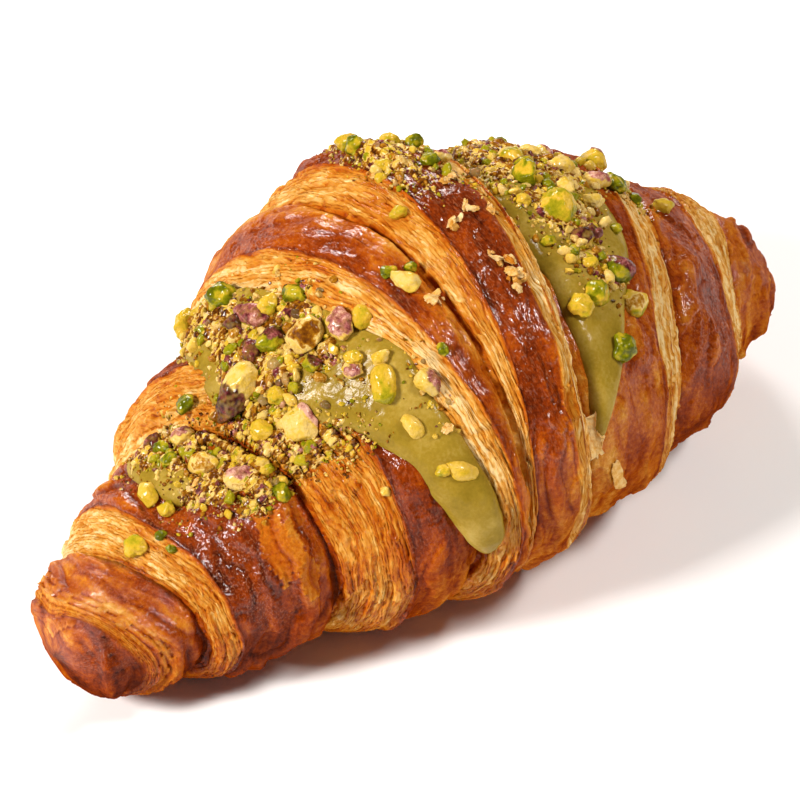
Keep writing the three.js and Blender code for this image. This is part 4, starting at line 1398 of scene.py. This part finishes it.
# Broken crust that has stuck to the skins: x, angle in degrees, reach in millimetres, how many chips.
CHIPS = [
    (3, 9, 1.4, 3), (8, 8, 1.6, 4), (11, 11, 1.4, 3), (6, 22, 2.0, 6), (5, 29, 2.6, 9),
    (2, -9, 1.8, 4), (-9, 22, 1.8, 5), (-12, 15, 1.4, 3), (-57, 8, 1.6, 3), (-20, 50, 1.2, 2),
    (10, -3, 2.2, 5), (0, -20, 2, 4),
]  # fmt: skip


def crumb_of_crust(bake, cut, gloss):
    """Tones of a loose bit of crust, which lies on no layer's line."""
    return {"bake": bake, "cut": cut, "gloss": gloss, "strand": 0.5}


def make_chips(ground, material):
    """Small clusters of pale, broken crust."""
    random = np.random.default_rng(411)
    shapes = [chopped_shape(110 + n, 3, 6, 0.6) for n in range(8)]
    parts = []
    for x, degrees, reach, count in CHIPS:
        for _chip in range(count):
            away = random.normal(size=2) * reach * 0.5
            spot, way = drop(ground, x + away[0], math.radians(degrees) + away[1] / TOP_RADIUS)
            size = random.uniform(0.6, 2.6)
            points, faces = shapes[random.integers(len(shapes))]
            flat = points * np.array([1, random.uniform(0.45, 0.9), random.uniform(0.3, 0.6)])
            tilt, _ = np.linalg.qr(np.eye(3) + 0.45 * random.normal(size=(3, 3)))
            axes = lie_on(way, random.uniform(0, 6.3)) @ tilt
            placed = (flat * size / SHAPE_WIDTH) @ axes.T + spot + way * random.uniform(0.1, 0.9)
            tone = np.clip(random.normal(0.06, 0.1), 0.0, 0.4)
            parts.append((placed, faces, crumb_of_crust(tone, 0.0, 0.3)))
    return face_outwards(join_up("broken_crust", parts, material))


def flake_outline(n, length, width, lift):
    """Points of one flat, ragged flake in rings round its middle, and how far each curls up."""
    theta = np.linspace(0, 2 * math.pi, FLAKE_TURNS, endpoint=False)
    c, s = np.cos(theta), np.sin(theta)
    ragged = 1 + 0.3 * noise(2.1 * c, 2.1 * s, 3.3 * n, seed=61)
    ragged = ragged + 0.14 * noise(6 * c, 6 * s, 3.3 * n, seed=62)
    box = 1 / np.maximum(np.abs(c), np.abs(s)) ** 0.6
    share = (np.arange(FLAKE_RINGS) + 0.5)[:, None] / (FLAKE_RINGS - 0.5)
    u = share * (ragged * box * c) * length / 2
    v = share * (ragged * box * s) * width / 2
    curl = lift * smoothstep(-0.2, 1.0, u / length * 2) + 0.25 * noise(u / 1.8, v / 1.8, 5.0 * n, seed=63)
    return np.stack([u, v, curl + 0.25], -1).reshape(-1, 3), curl.reshape(-1, 1)


def closed_flake():
    """Triangles of a closed flake: rings of its top, rings of its bottom, then the two middles."""
    count = FLAKE_TURNS * FLAKE_RINGS
    i, j = np.meshgrid(np.arange(FLAKE_RINGS - 1), np.arange(FLAKE_TURNS), indexing="ij")
    a, d = i * FLAKE_TURNS + j, i * FLAKE_TURNS + (j + 1) % FLAKE_TURNS
    b, c = a + FLAKE_TURNS, d + FLAKE_TURNS
    upper = np.concatenate([np.stack([a, b, c], -1).reshape(-1, 3), np.stack([a, c, d], -1).reshape(-1, 3)])
    inner = np.arange(FLAKE_TURNS)
    inner2 = np.roll(inner, -1)
    edge, edge2 = (ring + count - FLAKE_TURNS for ring in (inner, inner2))
    middle = np.full(FLAKE_TURNS, 2 * count)
    return np.vstack([
        upper,
        upper[:, ::-1] + count,
        np.stack([edge, edge + count, edge2 + count], -1),
        np.stack([edge, edge2 + count, edge2], -1),
        np.stack([middle, inner, inner2], -1),
        np.stack([middle + 1, inner2 + count, inner + count], -1),
    ])


def make_flakes(ground, material):
    """Thin, papery flakes of dough that have come half loose."""
    parts = []
    for n, (x, degrees, length, width, turn, lift, tone) in enumerate(FLAKES):
        spot, way = drop(ground, float(x), math.radians(degrees))
        flat, curl = flake_outline(n, length, width, lift)
        hug = []
        for point in flat @ lie_on(way, math.radians(turn)).T + spot:
            near, _way, _face, gap = ground.find_nearest(Vector(point) * MM)
            hug.append(np.array(near) / MM + way * (0.18 + min(gap / MM, 0.2)))
        top = np.array(hug) + (curl + 0.1) * way
        bottom = top - way * FLAKE_THICK
        points = np.vstack([top, bottom, top[:FLAKE_TURNS].mean(0), bottom[:FLAKE_TURNS].mean(0)])
        shade = tone + 0.12 * noise_in(points, 1.5, 64)
        parts.append((points, closed_flake(), crumb_of_crust(shade, 0.2, 0.25)))
    return face_outwards(join_up("loose_flakes", parts, material))


# ---- set ----
SOFTBOX_COLOUR = (1.0, 0.96, 0.92)
# Where each light stands, its width in metres, and its power in watts.
LIGHTS = {
    "key_softbox": ((-0.78, 0.08, 0.62), 0.2, 12.0),
    "back_softbox": ((0.36, 0.78, 0.5), 0.3, 6.0),
    "front_softbox": ((0.36, -0.42, 0.88), 0.2, 7.2),
}
LIT_SPOT = Vector((0, 0, 0.03))
VIEW_AZIMUTH = math.radians(-37.95)
VIEW_ELEVATION = math.radians(44.67)
VIEW_DISTANCE = 0.55
VIEW_TARGET = Vector((0, 0, 0.033))
VIEW_LENS = 123.3
VIEW_SHIFT = (-0.0198, -0.022)
FLOOR_SIZE = 6
FLOOR_HEIGHT = -0.0002


def stand(thing, spot, facing):
    """Stands a light or a camera at a spot, facing that way."""
    thing.location = spot
    thing.rotation_euler = facing.to_track_quat("-Z", "Y").to_euler()
    bpy.context.scene.collection.objects.link(thing)


def make_floor():
    """White paper under the croissant."""
    bpy.ops.mesh.primitive_plane_add(size=FLOOR_SIZE, location=(0, 0, FLOOR_HEIGHT))
    floor = bpy.context.object
    floor.name = "floor"
    floor.data.materials.append(floor_paper())


def make_lights():
    """Three small softboxes and a faint, even fill from all round."""
    world = bpy.data.worlds.new("studio")
    bpy.context.scene.world = world
    world.use_nodes = True
    fill = world.node_tree.nodes["Background"]
    fill.inputs["Color"].default_value = (1, 1, 1, 1)
    fill.inputs["Strength"].default_value = 0.08
    for name, (spot, width, power) in LIGHTS.items():
        data = bpy.data.lights.new(name, "AREA")
        data.size = width
        data.energy = power
        data.color = SOFTBOX_COLOUR
        stand(bpy.data.objects.new(name, data), spot, LIT_SPOT - Vector(spot))


def make_camera():
    """The view from high at the front left."""
    back = Vector((
        math.sin(VIEW_AZIMUTH) * math.cos(VIEW_ELEVATION),
        -math.cos(VIEW_AZIMUTH) * math.cos(VIEW_ELEVATION),
        math.sin(VIEW_ELEVATION),
    ))
    data = bpy.data.cameras.new("view")
    data.sensor_width = 36
    data.lens = VIEW_LENS
    data.shift_x, data.shift_y = VIEW_SHIFT
    camera = bpy.data.objects.new("view", data)
    stand(camera, VIEW_TARGET + back * VIEW_DISTANCE, -back)
    bpy.context.scene.camera = camera


bpy.ops.object.select_all(action="DESELECT")
crust = baked_crust()
nut_finish = chopped_nut()
landing = landing_ground(make_dough(crust) + make_cream(pistachio_cream()))
for kernel_number, kernel_look in enumerate(NUTS, start=1):
    make_pistachio(kernel_number, kernel_look, nut_finish)
make_flakes(landing, crust)
make_chips(landing, crust)
for bed_name in BEDS:
    make_bed(bed_name, landing, nut_finish)
make_bits(landing, nut_finish)
make_crumbs(landing, nut_finish)
make_floor()
make_lights()
make_camera()
bpy.context.scene.view_settings.view_transform = "Standard"
